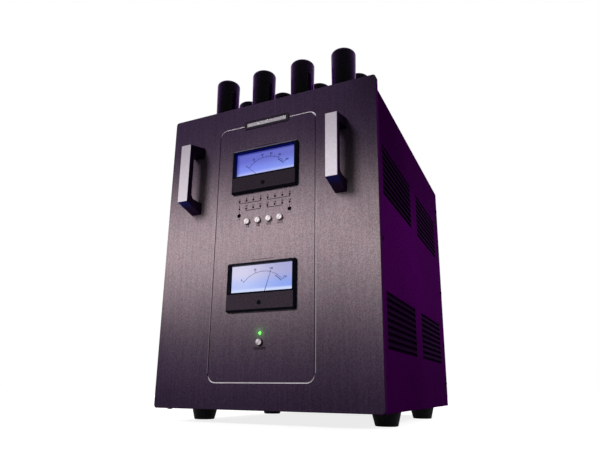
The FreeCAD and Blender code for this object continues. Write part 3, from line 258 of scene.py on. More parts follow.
@functools.cache
def worked_grain() -> bpy.types.NodeTree:
    """Fine grain drawn out along one direction, coarser mottle and the smudges of handling.

    Returns:
        The effect, whose Height is the fine grain alone.
    """
    takes = {"Place": "Vector", "Stretch": "Vector", "Mottle": "Float"}
    gives = {"Tone": "Float", "Height": "Float", "Smudge": "Float"}
    graph, given, result = new_effect("worked_grain", takes, gives)
    place = given.outputs["Place"]
    drawn = graph.stretched(place, given.outputs["Stretch"])
    fine = graph.noise(drawn, 1.0, 3.0)
    lumps = graph.maths("DIVIDE", 1.0, given.outputs["Mottle"])
    coarse = graph.add("TexNoise", {"Vector": place, "Scale": lumps, "Detail": 2.0}).outputs[0]
    both = graph.maths("ADD", graph.product(fine, 0.4), graph.product(coarse, 0.6))
    graph.feed(result.inputs["Tone"], graph.spread(both, 0.34, 0.66))
    graph.feed(result.inputs["Height"], fine)
    graph.feed(result.inputs["Smudge"], graph.noise(place, 45 * MM, 4.0))
    return graph.tree


@functools.cache
def worn_edges() -> bpy.types.NodeTree:
    """Where hands and cloths have rubbed a sharp edge.

    Returns:
        The effect.
    """
    graph, given, result = new_effect("worn_edges", {"Place": "Vector", "Reach": "Float"}, {"Mask": "Float"})
    rounded = graph.add("Bevel", {"Radius": given.outputs["Reach"]}, samples=4).outputs[0]
    true = graph.add("NewGeometry").outputs["Normal"]
    match = graph.add("VectorMath", {0: rounded, 1: true}, operation="DOT_PRODUCT").outputs["Value"]
    edge = graph.spread(match, 0.99, 0.86)
    patchy = graph.spread(graph.noise(given.outputs["Place"], 6 * MM, 4.0), 0.35, 0.62)
    graph.feed(result.inputs["Mask"], graph.product(edge, patchy))
    return graph.tree


@functools.cache
def settled_dust() -> bpy.types.NodeTree:
    """A thin film on what faces up.

    Returns:
        The effect.
    """
    graph, given, result = new_effect("settled_dust", {"Place": "Vector"}, {"Mask": "Float"})
    flat = graph.spread(graph.facing()[2], 0.55, 0.98)
    patchy = graph.spread(graph.noise(given.outputs["Place"], 18 * MM, 5.0), 0.3, 0.7, 0.25, 1.0)
    graph.feed(result.inputs["Mask"], graph.product(flat, patchy))
    return graph.tree


# Finishes

class Grain(Enum):
    """How a surface was worked: how much finer the grain is along X, Y and Z than its size."""

    UPRIGHT = (1.0, 1.0, 0.09)
    LENGTHWISE = (1.0, 0.07, 1.0)
    ACROSS = (0.07, 1.0, 1.0)
    EVEN = (1.0, 1.0, 1.0)

    def stretch(self, size: float) -> tuple[float, float, float]:
        """The factors that turn a place into the noise's own coordinates."""
        return tuple(share / size for share in self.value)


@dataclass(frozen=True)
class Finish:
    """A hard surface with a colour that varies, grain, smudges, worn edges and dust.

    The two colours are those of the grain's hollows and ridges. Roughness goes from the first
    value to the second with the smudges.
    """

    name: str
    deep: Colour
    pale: Colour
    metallic: float = 0.0
    roughness: Span = (0.4, 0.55)
    grain: Grain = Grain.EVEN
    grain_size: float = 0.5 * MM
    mottle: float = 2.6 * MM
    bump: float = 0.15
    wear: float = 0.0
    worn: Colour = (0.35, 0.33, 0.36)
    dust: float = 0.0
    specular: float = 0.4
    edge_tint: Colour = WHITE

    def colour(self, graph: Graph, place: Socket, tone: Socket) -> Socket:
        """The surface's own colour, without wear or dust."""
        return graph.blend(tone, self.deep, self.pale)

    def extras(self, graph: Graph, place: Socket, shader: bpy.types.Node) -> None:
        """Set what only a special finish has."""

    @functools.cache
    def material(self) -> bpy.types.Material:
        """Build the material once, and give it again when asked again.

        Returns:
            The material.
        """
        material = bpy.data.materials.new(self.name)
        graph = blank_graph(material)
        place = graph.add("TexCoord").outputs["Object"]
        grain = graph.group(worked_grain(), {
            "Place": place, "Stretch": self.grain.stretch(self.grain_size), "Mottle": self.mottle,
        })
        colour = self.colour(graph, place, grain.outputs["Tone"])
        if self.wear:
            rubbed = graph.group(worn_edges(), {"Place": place, "Reach": WEAR_REACH}).outputs["Mask"]
            colour = graph.blend(graph.product(rubbed, self.wear), colour, self.worn)
        if self.dust:
            film = graph.group(settled_dust(), {"Place": place}).outputs["Mask"]
            colour = graph.blend(graph.product(film, self.dust), colour, DUST_TINT)
        feeds = {
            "Base Color": colour,
            "Metallic": self.metallic,
            "Roughness": graph.spread(grain.outputs["Smudge"], 0.35, 0.65, *self.roughness),
            "Specular IOR Level": self.specular,
            "Specular Tint": self.edge_tint,
        }
        if self.bump:
            feeds["Normal"] = graph.add("Bump", {
                "Height": grain.outputs["Height"], "Strength": self.bump, "Distance": self.grain_size / 4,
            }).outputs[0]
        shader = graph.add("BsdfPrincipled", feeds)
        self.extras(graph, place, shader)
        graph.add("OutputMaterial", {"Surface": shader.outputs[0]})
        return material

    def shine(self, graph: Graph, shader: bpy.types.Node, light: Socket, strength: float) -> None:
        """Let the surface give light of its own."""
        graph.feed(shader.inputs["Emission Color"], light)
        shader.inputs["Emission Strength"].default_value = strength


@dataclass(frozen=True)
class PanelFinish(Finish):
    """Upright-brushed, anodised panel, with a painted light band: pale across its middle, deep at both ends.

    The groove's level runs and the lips of its upright runs carry a painted highlight in the colour of bare
    metal.
    """

    # Painted light: the pale band across the middle, shaped by middle, the reaches, lean and left_reach.
    middle: float = 0.275
    reach_up: float = 0.096          # of the pale band, at the panel's middle
    lean: float = 0.085              # how fast that shrinks to the right
    reach_down: float = 0.117
    left_reach: float = 0.93         # the share of it that is left at the left edge
    side: float = 0.184
    outer: float = 0.12              # where the outer strip beside each handle begins
    # Painted light and shade by place: the panel dims to the right, its outer strip is lighter with dips in
    # it, and its foot is darker.
    inner_fade: Span = (0.1, 0.93)   # how far right the panel dims, and to what
    outer_gain: float = 1.13
    outer_dips: tuple[tuple[float, float, float], ...] = ((0.235, 0.285, 0.28), (0.42, 0.5, 0.3))
    foot_fade: tuple[float, float, float] = (0.03, 0.07, 0.84)
    contrast: float = 0.2
    streaks: float = 0.07
    warm: Colour = (1.02, 0.985, 0.995)
    cool: Colour = (0.985, 1.01, 1.005)
    # Painted shade: the faces that do not face front, such as the side edges, take this dark colour.
    edges: Colour = (0.028, 0.003, 0.036)
    face: float = -0.2405
    groove_low: float = 0.0582
    groove_high: float = 0.4698
    groove_half: float = 0.0867
    # Painted highlight: the groove's level runs and the lips of its upright runs take the bare-metal colour.
    lip_share: float = 0.3
    bare: Colour = (0.6, 0.55, 0.59)

    def level(self, graph: Graph, place: Socket, tone: Socket) -> Socket:
        """How light the metal is for its grain and streaks, with painted light and shade by its place.

        Args:
            graph: The material's graph.
            place: The place on the panel.
            tone: The grain, from 0 to 1.

        Returns:
            The level's socket.
        """
        x, _, z = graph.split(place)
        shade = graph.spread(tone, 0.0, 1.0, 1.0 - self.contrast, 1.0 + self.contrast)
        drawn = graph.noise(graph.stretched(place, (1.0, 1.0, 0.06)), 4 * MM)
        streak = graph.spread(drawn, 0.3, 0.7, 1.0 - self.streaks, 1.0 + self.streaks)
        outer = graph.spread(x, self.outer, self.side)
        fade_end, fade_share = self.inner_fade
        dips = [
            graph.maths("SUBTRACT", 1.0, graph.product(outer, graph.spread(z, start, end, 0.0, depth)))
            for start, end, depth in self.outer_dips
        ]
        foot_start, foot_end, foot_share = self.foot_fade
        # Painted shade to the right, in the outer strip's dips and at the foot; painted light on the outer
        # strip.
        return graph.product(
            shade, streak,
            graph.spread(x, 0.0, fade_end, 1.0, fade_share),
            graph.spread(x, self.outer, self.side, 1.0, self.outer_gain),
            *dips,
            graph.spread(z, foot_start, foot_end, foot_share, 1.0),
        )

    def groove(self, graph: Graph, place: Socket) -> tuple[Socket, Socket]:
        """Where the groove's painted highlight goes.

        Args:
            graph: The material's graph.
            place: The place on the panel.

        Returns:
            The masks of the groove's level runs, and of the lips of its upright ones.
        """
        x, y, z = graph.split(place)
        depth = graph.maths("SUBTRACT", y, self.face)
        off = graph.maths("ABSOLUTE", x)
        top = graph.spread(z, self.groove_high - 12 * MM, self.groove_high - 3 * MM)
        bottom = graph.spread(z, self.groove_low + 12 * MM, self.groove_low + 3 * MM)
        level_run_highlight = graph.product(
            graph.spread(depth, 0.1 * MM, 0.3 * MM),
            graph.spread(off, self.groove_half + 1.2 * MM, self.groove_half + 1.0 * MM),
            graph.maths("ADD", top, bottom),
            graph.maths("LESS_THAN", depth, 2 * MM),
            graph.between(z, self.groove_low - 1.5 * MM, self.groove_high + 1.5 * MM),
        )
        beside = graph.maths("SUBTRACT", off, self.groove_half + 1.7 * MM)
        lip_highlight = graph.product(
            graph.spread(graph.maths("ABSOLUTE", beside), 0.8 * MM, 0.3 * MM, 0.0, self.lip_share),
            graph.maths("GREATER_THAN", z, self.groove_low + 13 * MM),
            graph.spread(z, 0.36, 0.3),
            graph.spread(x, -10 * MM, 10 * MM, 0.4, 1.0),
            graph.maths("LESS_THAN", depth, 0.1 * MM),
        )
        return level_run_highlight, lip_highlight

    def colour(self, graph: Graph, place: Socket, tone: Socket) -> Socket:
        """The painted light band by height, the grain over it, the edges in painted shade and the groove's
        painted highlight.

        Args:
            graph: The material's graph.
            place: The place on the panel.
            tone: The grain, from 0 to 1.

        Returns:
            The colour's socket.
        """
        x, _, z = graph.split(place)
        above = graph.maths("GREATER_THAN", z, self.middle)
        higher = graph.spread(x, 0.0, self.side, self.reach_up, self.reach_up - self.side * self.lean)
        lower = graph.spread(x, -self.outer, -self.side, self.reach_down, self.reach_down * self.left_reach)
        reach = graph.add("Mix", {0: above, 2: lower, 3: higher}, data_type="FLOAT").outputs[0]
        # Painted light: pale in a band across the middle, deep towards the top and bottom.
        base = graph.blend(graph.bell(z, self.middle, reach), self.deep, self.pale)
        base = graph.scaled(base, self.level(graph, place, tone))
        cast = graph.blend(graph.spread(graph.noise(place, 7 * MM), 0.35, 0.65), self.warm, self.cool)
        base = graph.blend(1.0, base, cast, "MULTIPLY")
        # Painted shade on faces that do not face front.
        ahead = graph.product(graph.facing()[1], -1.0)
        base = graph.blend(graph.spread(ahead, 0.5, 0.95), self.edges, base)
        # Painted highlight on the groove.
        for mask in self.groove(graph, place):
            base = graph.blend(mask, base, self.bare)
        return base


@dataclass(frozen=True)
class BezelFinish(Finish):
    """Gloss black bezel, with a painted highlight on its top bevel, and a painted reflection and glow of the
    dial on its window's walls.
    """

    window: Window = (-0.0535, 0.0535, 0.0, 0.1)
    front: float = -0.2467
    pane: float = -0.2405
    slack: float = 0.1 * MM
    # Painted highlight on the top bevel, painted reflection of the dial on the walls, and the walls' painted
    # glow.
    top: Colour = (0.1, 0.085, 0.088)
    mirrored: Colour = (0.0, 0.002, 0.12)
    cast: Colour = (0.0, 0.3, 1.0)
    cast_strength: float = 0.6

    def colour(self, graph: Graph, place: Socket, tone: Socket) -> Socket:
        """Black, then the bevel's painted highlight and the walls' painted reflection.

        Args:
            graph: The material's graph.
            place: The place on the bezel.
            tone: The grain, from 0 to 1.

        Returns:
            The colour's socket.
        """
        left, right, low, high = self.window
        x, y, z = graph.split(place)
        _, ahead, upward = graph.facing()
        # Painted highlight on the top bevel.
        bevel = graph.product(graph.spread(upward, 0.5, 0.7), graph.maths("GREATER_THAN", z, high))
        base = graph.blend(bevel, graph.blend(tone, self.deep, self.pale), self.top)
        # Painted reflection of the dial on the window's walls.
        wall = graph.product(
            graph.between(x, left - self.slack, right + self.slack),
            graph.between(z, low - self.slack, high + self.slack),
            graph.spread(graph.maths("ABSOLUTE", ahead), 0.5, 0.2),
            graph.spread(y, self.front, self.pane),
        )
        return graph.blend(wall, base, self.mirrored)

    def extras(self, graph: Graph, place: Socket, shader: bpy.types.Node) -> None:
        """Make the walls glow with the dial's light as painted light, as their own colour is seen in the
        window's shade.
        """
        colour = shader.inputs["Base Color"].links[0].from_socket
        # Painted glow of the walls.
        self.shine(graph, shader, graph.blend(1.0, colour, self.cast, "MULTIPLY"), self.cast_strength)


@dataclass(frozen=True)
class HandleFinish(Finish):
    """Bar handle: a bright machined front, painted lighter towards its foot; sides in painted shade, with a
    painted blue reflection at the lower end.
    """

    # Painted light on the front, lighter at its foot; painted blue reflection on the lower end.
    front_low: Colour = (0.68, 0.62, 0.69)
    front_high: Colour = (0.42, 0.37, 0.43)
    low: float = 0.3265
    high: float = 0.446
    front: float = -0.2795
    blue: Colour = (0.006, 0.012, 0.13)

    def colour(self, graph: Graph, place: Socket, tone: Socket) -> Socket:
        """Front, sides in painted shade and lower end with its painted reflection, told apart by the way they
        face.

        Args:
            graph: The material's graph.
            place: The place on the handle.
            tone: The grain, from 0 to 1.

        Returns:
            The colour's socket.
        """
        _, facing_y, facing_z = graph.facing()
        _, y, z = graph.split(place)
        # Painted light: the front is lighter towards its foot.
        front = graph.blend(graph.spread(z, self.low, self.high), self.front_low, self.front_high)
        front = graph.scaled(front, graph.spread(tone, 0.0, 1.0, 0.96, 1.04))
        lower_end = graph.product(
            graph.spread(graph.product(facing_z, -1.0), 0.3, 0.8),
            graph.spread(y, self.front + 22 * MM, self.front + 4 * MM),
            graph.spread(z, self.low + 16 * MM, self.low + 6 * MM),
        )
        # Painted shade on the sides, and a painted blue reflection on the lower end.
        side = graph.blend(lower_end, graph.blend(tone, self.deep, self.pale), self.blue)
        bright = graph.product(
            graph.spread(graph.product(facing_y, -1.0), 0.72, 0.97),
            graph.spread(z, self.high - 0.5 * MM, self.high - 1.8 * MM),
        )
        return graph.blend(bright, side, front)


@dataclass(frozen=True)
class CoverFinish(Finish):
    """Dark aubergine paint, with painted light across the middle, towards the rear and on the lower front,
    and painted shade between the vents and in their slots.
    """

    # Painted light: a pale band by height, lighter towards the rear and on the lower front.
    middle: float = 0.265
    reach: float = 0.15
    low_share: float = 0.62
    rear: float = 0.2495
    rear_gain: float = 0.08
    front_along: Span = (0.16, -0.2)
    front_up: Span = (0.43, 0.33)
    front_gain: float = 0.8
    face: float = 0.181
    vents_along: tuple[Span, Span] = ((-0.2065, -0.0265), (0.0195, 0.1995))
    vents_up: tuple[Span, Span] = ((0.1035, 0.1845), (0.329, 0.41))
    # Painted shade on the lands between the vents and on the slots' walls.
    vent_share: float = 0.9
    dull: Colour = (0.0125, 0.0045, 0.018)
    slot: Colour = (0.0042, 0.0004, 0.0068)

    def within(self, graph: Graph, value: Socket, spans: tuple[Span, Span]) -> Socket:
        """A mask that is 1 where the value lies in one of two spans."""
        return graph.maths("MAXIMUM", *(graph.between(value, *span) for span in spans))

    def colour(self, graph: Graph, place: Socket, tone: Socket) -> Socket:
        """The paint's colour with painted light by height and depth, and painted shade between the vents and
        on the slots' walls.

        Args:
            graph: The material's graph.
            place: The place on the cover.
            tone: The grain, from 0 to 1.

        Returns:
            The colour's socket.
        """
        x, y, z = graph.split(place)
        # Painted light by height, towards the rear and on the lower front.
        band = graph.spread(graph.bell(z, self.middle, self.reach), 0.0, 1.0, self.low_share, 1.0)
        back = graph.spread(y, -self.rear / 2, self.rear, 1.0, 1.0 + self.rear_gain)
        forward, under = graph.spread(y, *self.front_along), graph.spread(z, *self.front_up)
        ahead = graph.product(forward, under, self.front_gain)
        level = graph.product(band, back, graph.maths("ADD", ahead, 1.0))
        body = graph.scaled(graph.blend(tone, self.deep, self.pale), level)
        beside = graph.maths("SUBTRACT", self.face, graph.maths("ABSOLUTE", x))
        vent = graph.product(
            self.within(graph, y, self.vents_along), self.within(graph, z, self.vents_up),
            graph.maths("LESS_THAN", beside, 2.6 * MM),
        )
        # Painted shade on the vents' lands, then on the slots' walls.
        body = graph.blend(graph.product(vent, self.vent_share), body, self.dull)
        return graph.blend(graph.product(vent, graph.spread(beside, 0.1 * MM, 0.3 * MM)), body, self.slot)


@dataclass(frozen=True)
class TurnedFinish(Finish):
    """A face turned on a lathe: rings of fine tool marks round the piece's axis along Y.

    Two opposite sectors carry a painted highlight, and a small dark centre and the rim are in painted shade.
    """

    centre: Span = (0.0, 0.0)
    ring: float = 0.35 * MM
    # Painted highlight in two opposite sectors, and its turn.
    sectors: float = 0.45
    sector_turn: float = 0.6
    # Painted shade in the middle of the dish and along the rim.
    dimple: float = 0.9 * MM
    dimple_share: float = 0.7
    rim: Span = (3.9 * MM, 4.7 * MM)
    rim_share: float = 0.85
    rim_tone: float = 0.3

    def colour(self, graph: Graph, place: Socket, tone: Socket) -> Socket:
        """The rings, the sectors' painted highlight and the painted shade of centre and rim, over the grain.

        Args:
            graph: The material's graph.
            place: The place on the piece.
            tone: The grain, from 0 to 1.

        Returns:
            The colour's socket.
        """
        across, up, away = graph.apart(place, self.centre)
        ripple = graph.spread(graph.wave(away, self.ring), -1.0, 1.0)
        rings = graph.product(graph.maths("ADD", ripple, tone), 0.5)
        # Painted highlight in two opposite sectors.
        turn = graph.maths("ADD", graph.maths("ARCTAN2", up, across), self.sector_turn)
        bright = graph.spread(graph.maths("COSINE", graph.product(turn, 2.0)), -0.8, 0.4)
        ringed = graph.product(rings, 1.0 - self.sectors)
        share = graph.maths("ADD", ringed, graph.product(bright, self.sectors))
        # Painted shade along the rim, then in the middle.
        dull = tuple(v * self.rim_tone for v in self.deep)
        face = graph.blend(share, self.deep, self.pale)
        face = graph.blend(graph.spread(away, *self.rim, 0.0, self.rim_share), face, dull)
        centre = graph.spread(away, self.dimple, self.dimple / 3, 0.0, self.dimple_share)
        return graph.blend(centre, face, self.deep)


@dataclass(frozen=True)
class DialFinish(Finish):
    """A back-lit dial: its light is given by its place in the window, with a glow along two edges and, as far
    as shade is set, painted shade along its top and left edges.

    Where an edge begins and ends is counted in shares of the window.
    """

    window: Window = (-0.0535, 0.0535, 0.0, 0.1)
    left_top: Colour = (0.128, 0.143, 0.585)
    right_top: Colour = (0.145, 0.16, 0.565)
    left_low: Colour = (0.22, 0.275, 0.86)
    right_low: Colour = (0.225, 0.3, 0.86)
    glow: Colour = (0.45, 0.5, 0.9)
    sweep: Span = (0.1, 0.9)
    turn: Span = (0.25, 0.75)
    glow_top: float = 0.3
    glow_low: float = 0.1
    side: Span = (0.94, 1.0)
    side_share: float = 0.35
    # Painted shade under the bezel's hood and beside its left wall: where it falls, how much, and its colour.
    hood: Span = (0.93, 1.0)
    wall: Span = (0.06, -0.03)
    shade: float = 0.0
    shaded: Colour = (0.0, 0.004, 0.2)

    def extras(self, graph: Graph, place: Socket, shader: bpy.types.Node) -> None:
        """Light the dial from behind, with painted shade under the hood and beside the left wall.

        Args:
            graph: The material's graph.
            place: The place on the dial.
            shader: The surface's shader.
        """
        left, right, low, high = self.window
        x, _, z = graph.split(place)
        across = graph.even_spread(x, left, right)
        up = graph.even_spread(z, low, high)
        share = graph.spread(across, *self.sweep)
        lower = graph.blend(share, self.left_low, self.right_low)
        upper = graph.blend(share, self.left_top, self.right_top)
        light = graph.blend(graph.spread(up, *self.turn), lower, upper)
        floor_glow = graph.spread(up, self.glow_top, self.glow_low)
        side_glow = graph.spread(across, *self.side, 0.0, self.side_share)
        light = graph.blend(graph.maths("MAXIMUM", floor_glow, side_glow), light, self.glow)
        # Painted shade along the top and left edges.
        edge = graph.maths("MAXIMUM", graph.spread(up, *self.hood), graph.spread(across, *self.wall))
        light = graph.blend(graph.product(edge, self.shade), light, self.shaded)
        self.shine(graph, shader, light, 1.0)


@dataclass(frozen=True)
class LampFinish(Finish):
    """A small piece that is lit from inside, brightest near its middle on the panel."""

    light: Colour = (0.3, 1.0, 0.25)
    core: Colour = (0.3, 1.0, 0.25)
    strength: float = 1.5
    middle: Span = (0.0, 0.0)
    reach: float = 2 * MM

    def extras(self, graph: Graph, place: Socket, shader: bpy.types.Node) -> None:
        """Give the piece its light.

        Args:
            graph: The material's graph.
            place: The place on the piece.
            shader: The surface's shader.
        """
        away = graph.apart(place, self.middle)[2]
        light = graph.blend(graph.spread(away, 0.0, self.reach), self.core, self.light)
        self.shine(graph, shader, light, self.strength)


@dataclass(frozen=True)
class GlassFinish(Finish):
    """Glass: clear for the meters' panes, smoked for the tubes, with a painted violet glow round their
    upright sides.
    """

    bend: float = 1.3
    bloom: float = 0.0
    bloom_tint: Colour = (0.085, 0.0, 0.185)

    def extras(self, graph: Graph, place: Socket, shader: bpy.types.Node) -> None:
        """Let light through, and add the painted glow.

        Args:
            graph: The material's graph.
            place: Not used.
            shader: The surface's shader.
        """
        shader.inputs["Transmission Weight"].default_value = 1.0
        shader.inputs["IOR"].default_value = self.bend
        if self.bloom:
            # Painted violet glow round the tubes' upright sides.
            edge = graph.add("LayerWeight", {"Blend": 0.5}).outputs["Facing"]
            upright = graph.spread(graph.facing()[2], 0.3, 0.0)
            rim = graph.product(edge, edge, edge, upright, self.bloom)
            self.shine(graph, shader, graph.blend(rim, BLACK, self.bloom_tint), 1.0)


@dataclass(frozen=True)
class CoreFinish(Finish):
    """A transformer: stacked laminations in front and behind, and a wrapped coil between them."""

    middle: float = 0.0
    half: float = 0.035
    wrap_deep: Colour = (0.05, 0.03, 0.012)
    wrap_pale: Colour = (0.13, 0.08, 0.03)
    sheet: float = 1.0 * MM

    def colour(self, graph: Graph, place: Socket, tone: Socket) -> Socket:
        """Laminations by depth, the coil's wrap outside them.

        Args:
            graph: The material's graph.
            place: The place on the transformer.
            tone: The grain, from 0 to 1.

        Returns:
            The colour's socket.
        """
        _, y, z = graph.split(place)
        off = graph.maths("ABSOLUTE", graph.maths("SUBTRACT", y, self.middle))
        iron = graph.blend(graph.spread(graph.wave(y, self.sheet), -1.0, 1.0), self.deep, self.pale)
        turns = graph.spread(graph.wave(z, 2 * self.sheet), -1.0, 1.0)
        wrap = graph.blend(turns, self.wrap_deep, self.wrap_pale)
        wrap = graph.blend(graph.product(tone, 0.3), wrap, self.wrap_pale)
        return graph.blend(graph.spread(off, self.half, self.half + 0.6 * MM), iron, wrap)


@dataclass(frozen=True)
class GauzeFinish(Finish):
    """Fine woven wire: two sets of wires that cross, dark between them, and dark as a whole as painted shade.
    """

    pitch: float = 1.1 * MM

    def colour(self, graph: Graph, place: Socket, tone: Socket) -> Socket:
        """The wires over the gaps."""
        waves = [graph.wave(value, self.pitch) for value in graph.split(place)[1:]]
        return graph.blend(graph.spread(graph.maths("MAXIMUM", *waves), 0.5, 0.9), self.deep, self.pale)


@dataclass(frozen=True)
class LayeredFinish(Finish):
    """Pieces that change with height: one colour below a level and another above it."""

    level: float = 0.0
    above_deep: Colour = (0.02, 0.02, 0.025)
    above_pale: Colour = (0.06, 0.06, 0.07)

    def colour(self, graph: Graph, place: Socket, tone: Socket) -> Socket:
        """The lower colour, then the upper one.

        Args:
            graph: The material's graph.
            place: The place on the piece.
            tone: The grain, from 0 to 1.

        Returns:
            The colour's socket.
        """
        over = graph.spread(graph.split(place)[2], self.level - 0.1 * MM, self.level + 0.1 * MM)
        low = graph.blend(tone, self.deep, self.pale)
        high = graph.blend(tone, self.above_deep, self.above_pale)
        return graph.blend(over, low, high)


MASK_GREEN = ((0.01, 0.07, 0.03), (0.02, 0.12, 0.05))


def flat_ink(name: str, deep: Colour, pale: Colour) -> Finish:
    """Ink without gloss, as it is printed on a dial."""
    return Finish(name, deep, pale, roughness=(0.6, 0.8), bump=0.0, specular=0.0)


def board_mask(name: str) -> Finish:
    """A circuit board's green mask."""
    return Finish(name, *MASK_GREEN, roughness=(0.3, 0.45), grain_size=1.2 * MM)


DIAL_INK = flat_ink("dial_ink", (0.015, 0.018, 0.12), (0.03, 0.035, 0.2))
PALE_INK = flat_ink("pale_ink", (0.1, 0.1, 0.26), (0.15, 0.15, 0.34))
BLACK_INK = Finish(
    "black_ink", (0.003, 0.002, 0.004), (0.007, 0.006, 0.009),
    roughness=(0.5, 0.7), bump=0.05, specular=0.02,
)
SCREW_BLACK = Finish(
    "blackened_screw", (0.0012, 0.001, 0.0015), (0.0025, 0.0022, 0.003),
    roughness=(0.3, 0.45), specular=0.04,
)
BLACK_STEEL = Finish(
    "black_zinc_steel", (0.014, 0.013, 0.017), (0.03, 0.028, 0.034),
    metallic=0.8, roughness=(0.35, 0.5), wear=0.6, worn=(0.2, 0.19, 0.2), edge_tint=(0.6, 0.6, 0.6),
)
RUBBER = Finish(
    "foot_rubber", (0.003, 0.003, 0.004), (0.008, 0.0075, 0.009),
    roughness=(0.7, 0.9), grain_size=0.6 * MM, bump=0.3, dust=0.08, specular=0.1,
)

# Modelling

def deselect() -> None:
    """Select nothing, because an operator acts on all that is selected."""
    bpy.ops.object.select_all(action="DESELECT")


def settle(name: str) -> bpy.types.Object:
    """Name the piece that was just added, and move its place into its mesh.

    Args:
        name: The piece's name.

    Returns:
        The piece.
    """
    piece = bpy.context.object
    bpy.ops.object.transform_apply(location=True, rotation=True, scale=True)
    piece.name = name
    piece.data.name = name
    return piece


def hold(piece: bpy.types.Object) -> None:
    """Select one piece alone.

    Args:
        piece: The piece.
    """
    deselect()
    piece.select_set(True)
    bpy.context.view_layer.objects.active = piece


def modify(piece: bpy.types.Object, kind: str, **settings: object) -> None:
    """Put a modifier on a piece and apply it.

    Args:
        piece: The piece to change.
        kind: The modifier's type.
        settings: Its values.
    """
    hold(piece)
    modifier = piece.modifiers.new(kind.lower(), kind)
    for name, setting in settings.items():
        setattr(modifier, name, setting)
    bpy.ops.object.modifier_apply(modifier=modifier.name)


def block(name: str, low: tuple, high: tuple, edge: float = 0.0, steps: int = 2) -> bpy.types.Object:
    """A block between two corners, with rounded edges if asked.

    Args:
        name: The piece's name.
        low: Its lowest corner.
        high: Its highest corner.
        edge: The radius of its edges.
        steps: How many facets round each edge has.

    Returns:
        The new piece.
    """
    deselect()
    middle = [(a + b) / 2 for a, b in zip(low, high)]
    size = [b - a for a, b in zip(low, high)]
    bpy.ops.mesh.primitive_cube_add(size=1, location=middle, scale=size)
    piece = settle(name)
    if edge:
        modify(piece, "BEVEL", width=edge, segments=steps)
    return piece


def rod(
    name: str, radius: float, start: tuple, end: tuple, sides: int = 24, edge: float = 0.0,
) -> bpy.types.Object:
    """A round rod from one point to another.

    Args:
        name: The piece's name.
        radius: Its radius.
        start: The middle of one end.
        end: The middle of the other end.
        sides: How many sides it has.
        edge: The radius of its end edges.

    Returns:
        The new piece.
    """
    deselect()
    along = Vector(end) - Vector(start)
    turn = along.to_track_quat("Z", "Y").to_euler()
    middle = (Vector(start) + Vector(end)) / 2
    bpy.ops.mesh.primitive_cylinder_add(
        vertices=sides, radius=radius, depth=along.length, location=middle, rotation=turn
    )
    piece = settle(name)
    if edge:
        modify(piece, "BEVEL", width=edge, segments=2, angle_limit=math.radians(60))
    return piece


def arc(centre: Span, radius: float, start: float, end: float, steps: int) -> list[Span]:
    """Points along an arc, its angles in degrees from the first axis."""
    angles = [math.radians(start + (end - start) * i / steps) for i in range(steps + 1)]
    return [(centre[0] + radius * math.cos(a), centre[1] + radius * math.sin(a)) for a in angles]


def start_point(at: tuple) -> None:
    """Add one point to model from, and stay in edit mode.

    Args:
        at: Where the point lies.
    """
    deselect()
    bpy.ops.mesh.primitive_plane_add(size=MM)
    bpy.ops.object.mode_set(mode="EDIT")
    bpy.ops.mesh.select_mode(type="VERT")
    bpy.ops.mesh.select_all(action="SELECT")
    bpy.ops.mesh.merge(type="CENTER")
    bpy.ops.transform.translate(value=at)


def turned(name: str, outline: list[Span], sides: int = 40, smooth: float = 35.0) -> bpy.types.Object:
    """A shape turned about Z from an outline of (radius, height) points.

    Args:
        name: The piece's name.
        outline: The points, either from axis to axis or round a closed section.
        sides: How many sides it has.
        smooth: The sharpest angle, in degrees, that is shaded smooth.

    Returns:
        The new piece, about the Z axis.
    """
    start_point((outline[0][0], 0, outline[0][1]))
    for (r0, z0), (r1, z1) in zip(outline, outline[1:]):
        bpy.ops.mesh.extrude_vertices_move(TRANSFORM_OT_translate={"value": (r1 - r0, 0, z1 - z0)})
    bpy.ops.mesh.select_all(action="SELECT")
    bpy.ops.mesh.spin(steps=sides, angle=2 * math.pi, center=(0, 0, 0), axis=(0, 0, 1))
    bpy.ops.mesh.select_all(action="SELECT")
    bpy.ops.mesh.remove_doubles(threshold=0.01 * MM)
    bpy.ops.mesh.normals_make_consistent(inside=False)
    bpy.ops.object.mode_set(mode="OBJECT")
    piece = settle(name)
    bpy.ops.object.shade_smooth_by_angle(angle=math.radians(smooth))
    return piece


def arc_band(name: str, pivot: Vector, radii: Span, angles: Span, steps: int = 32) -> bpy.types.Object:
    """A thin band round a pivot in the plane that faces -Y.

    Args:
        name: The piece's name.
        pivot: The centre, at the band's own depth.
        radii: The inner and outer radius.
        angles: Where it starts and ends, in degrees from straight up, clockwise from in front.
        steps: How many pieces the arc has.

    Returns:
        The new piece, as thick as ink.
    """
    begin = math.radians(angles[0])
    way = Vector((math.sin(begin), 0, math.cos(begin)))
    start_point(pivot + way * radii[0])
    bpy.ops.mesh.extrude_vertices_move(TRANSFORM_OT_translate={"value": way * (radii[1] - radii[0])})
    bpy.ops.mesh.select_all(action="SELECT")
    sweep = math.radians(angles[1] - angles[0])
    bpy.ops.mesh.spin(steps=steps, angle=sweep, center=pivot, axis=(0, -1, 0))
    bpy.ops.object.mode_set(mode="OBJECT")
    piece = settle(name)
    modify(piece, "SOLIDIFY", thickness=INK_THICK, offset=0)
    return piece


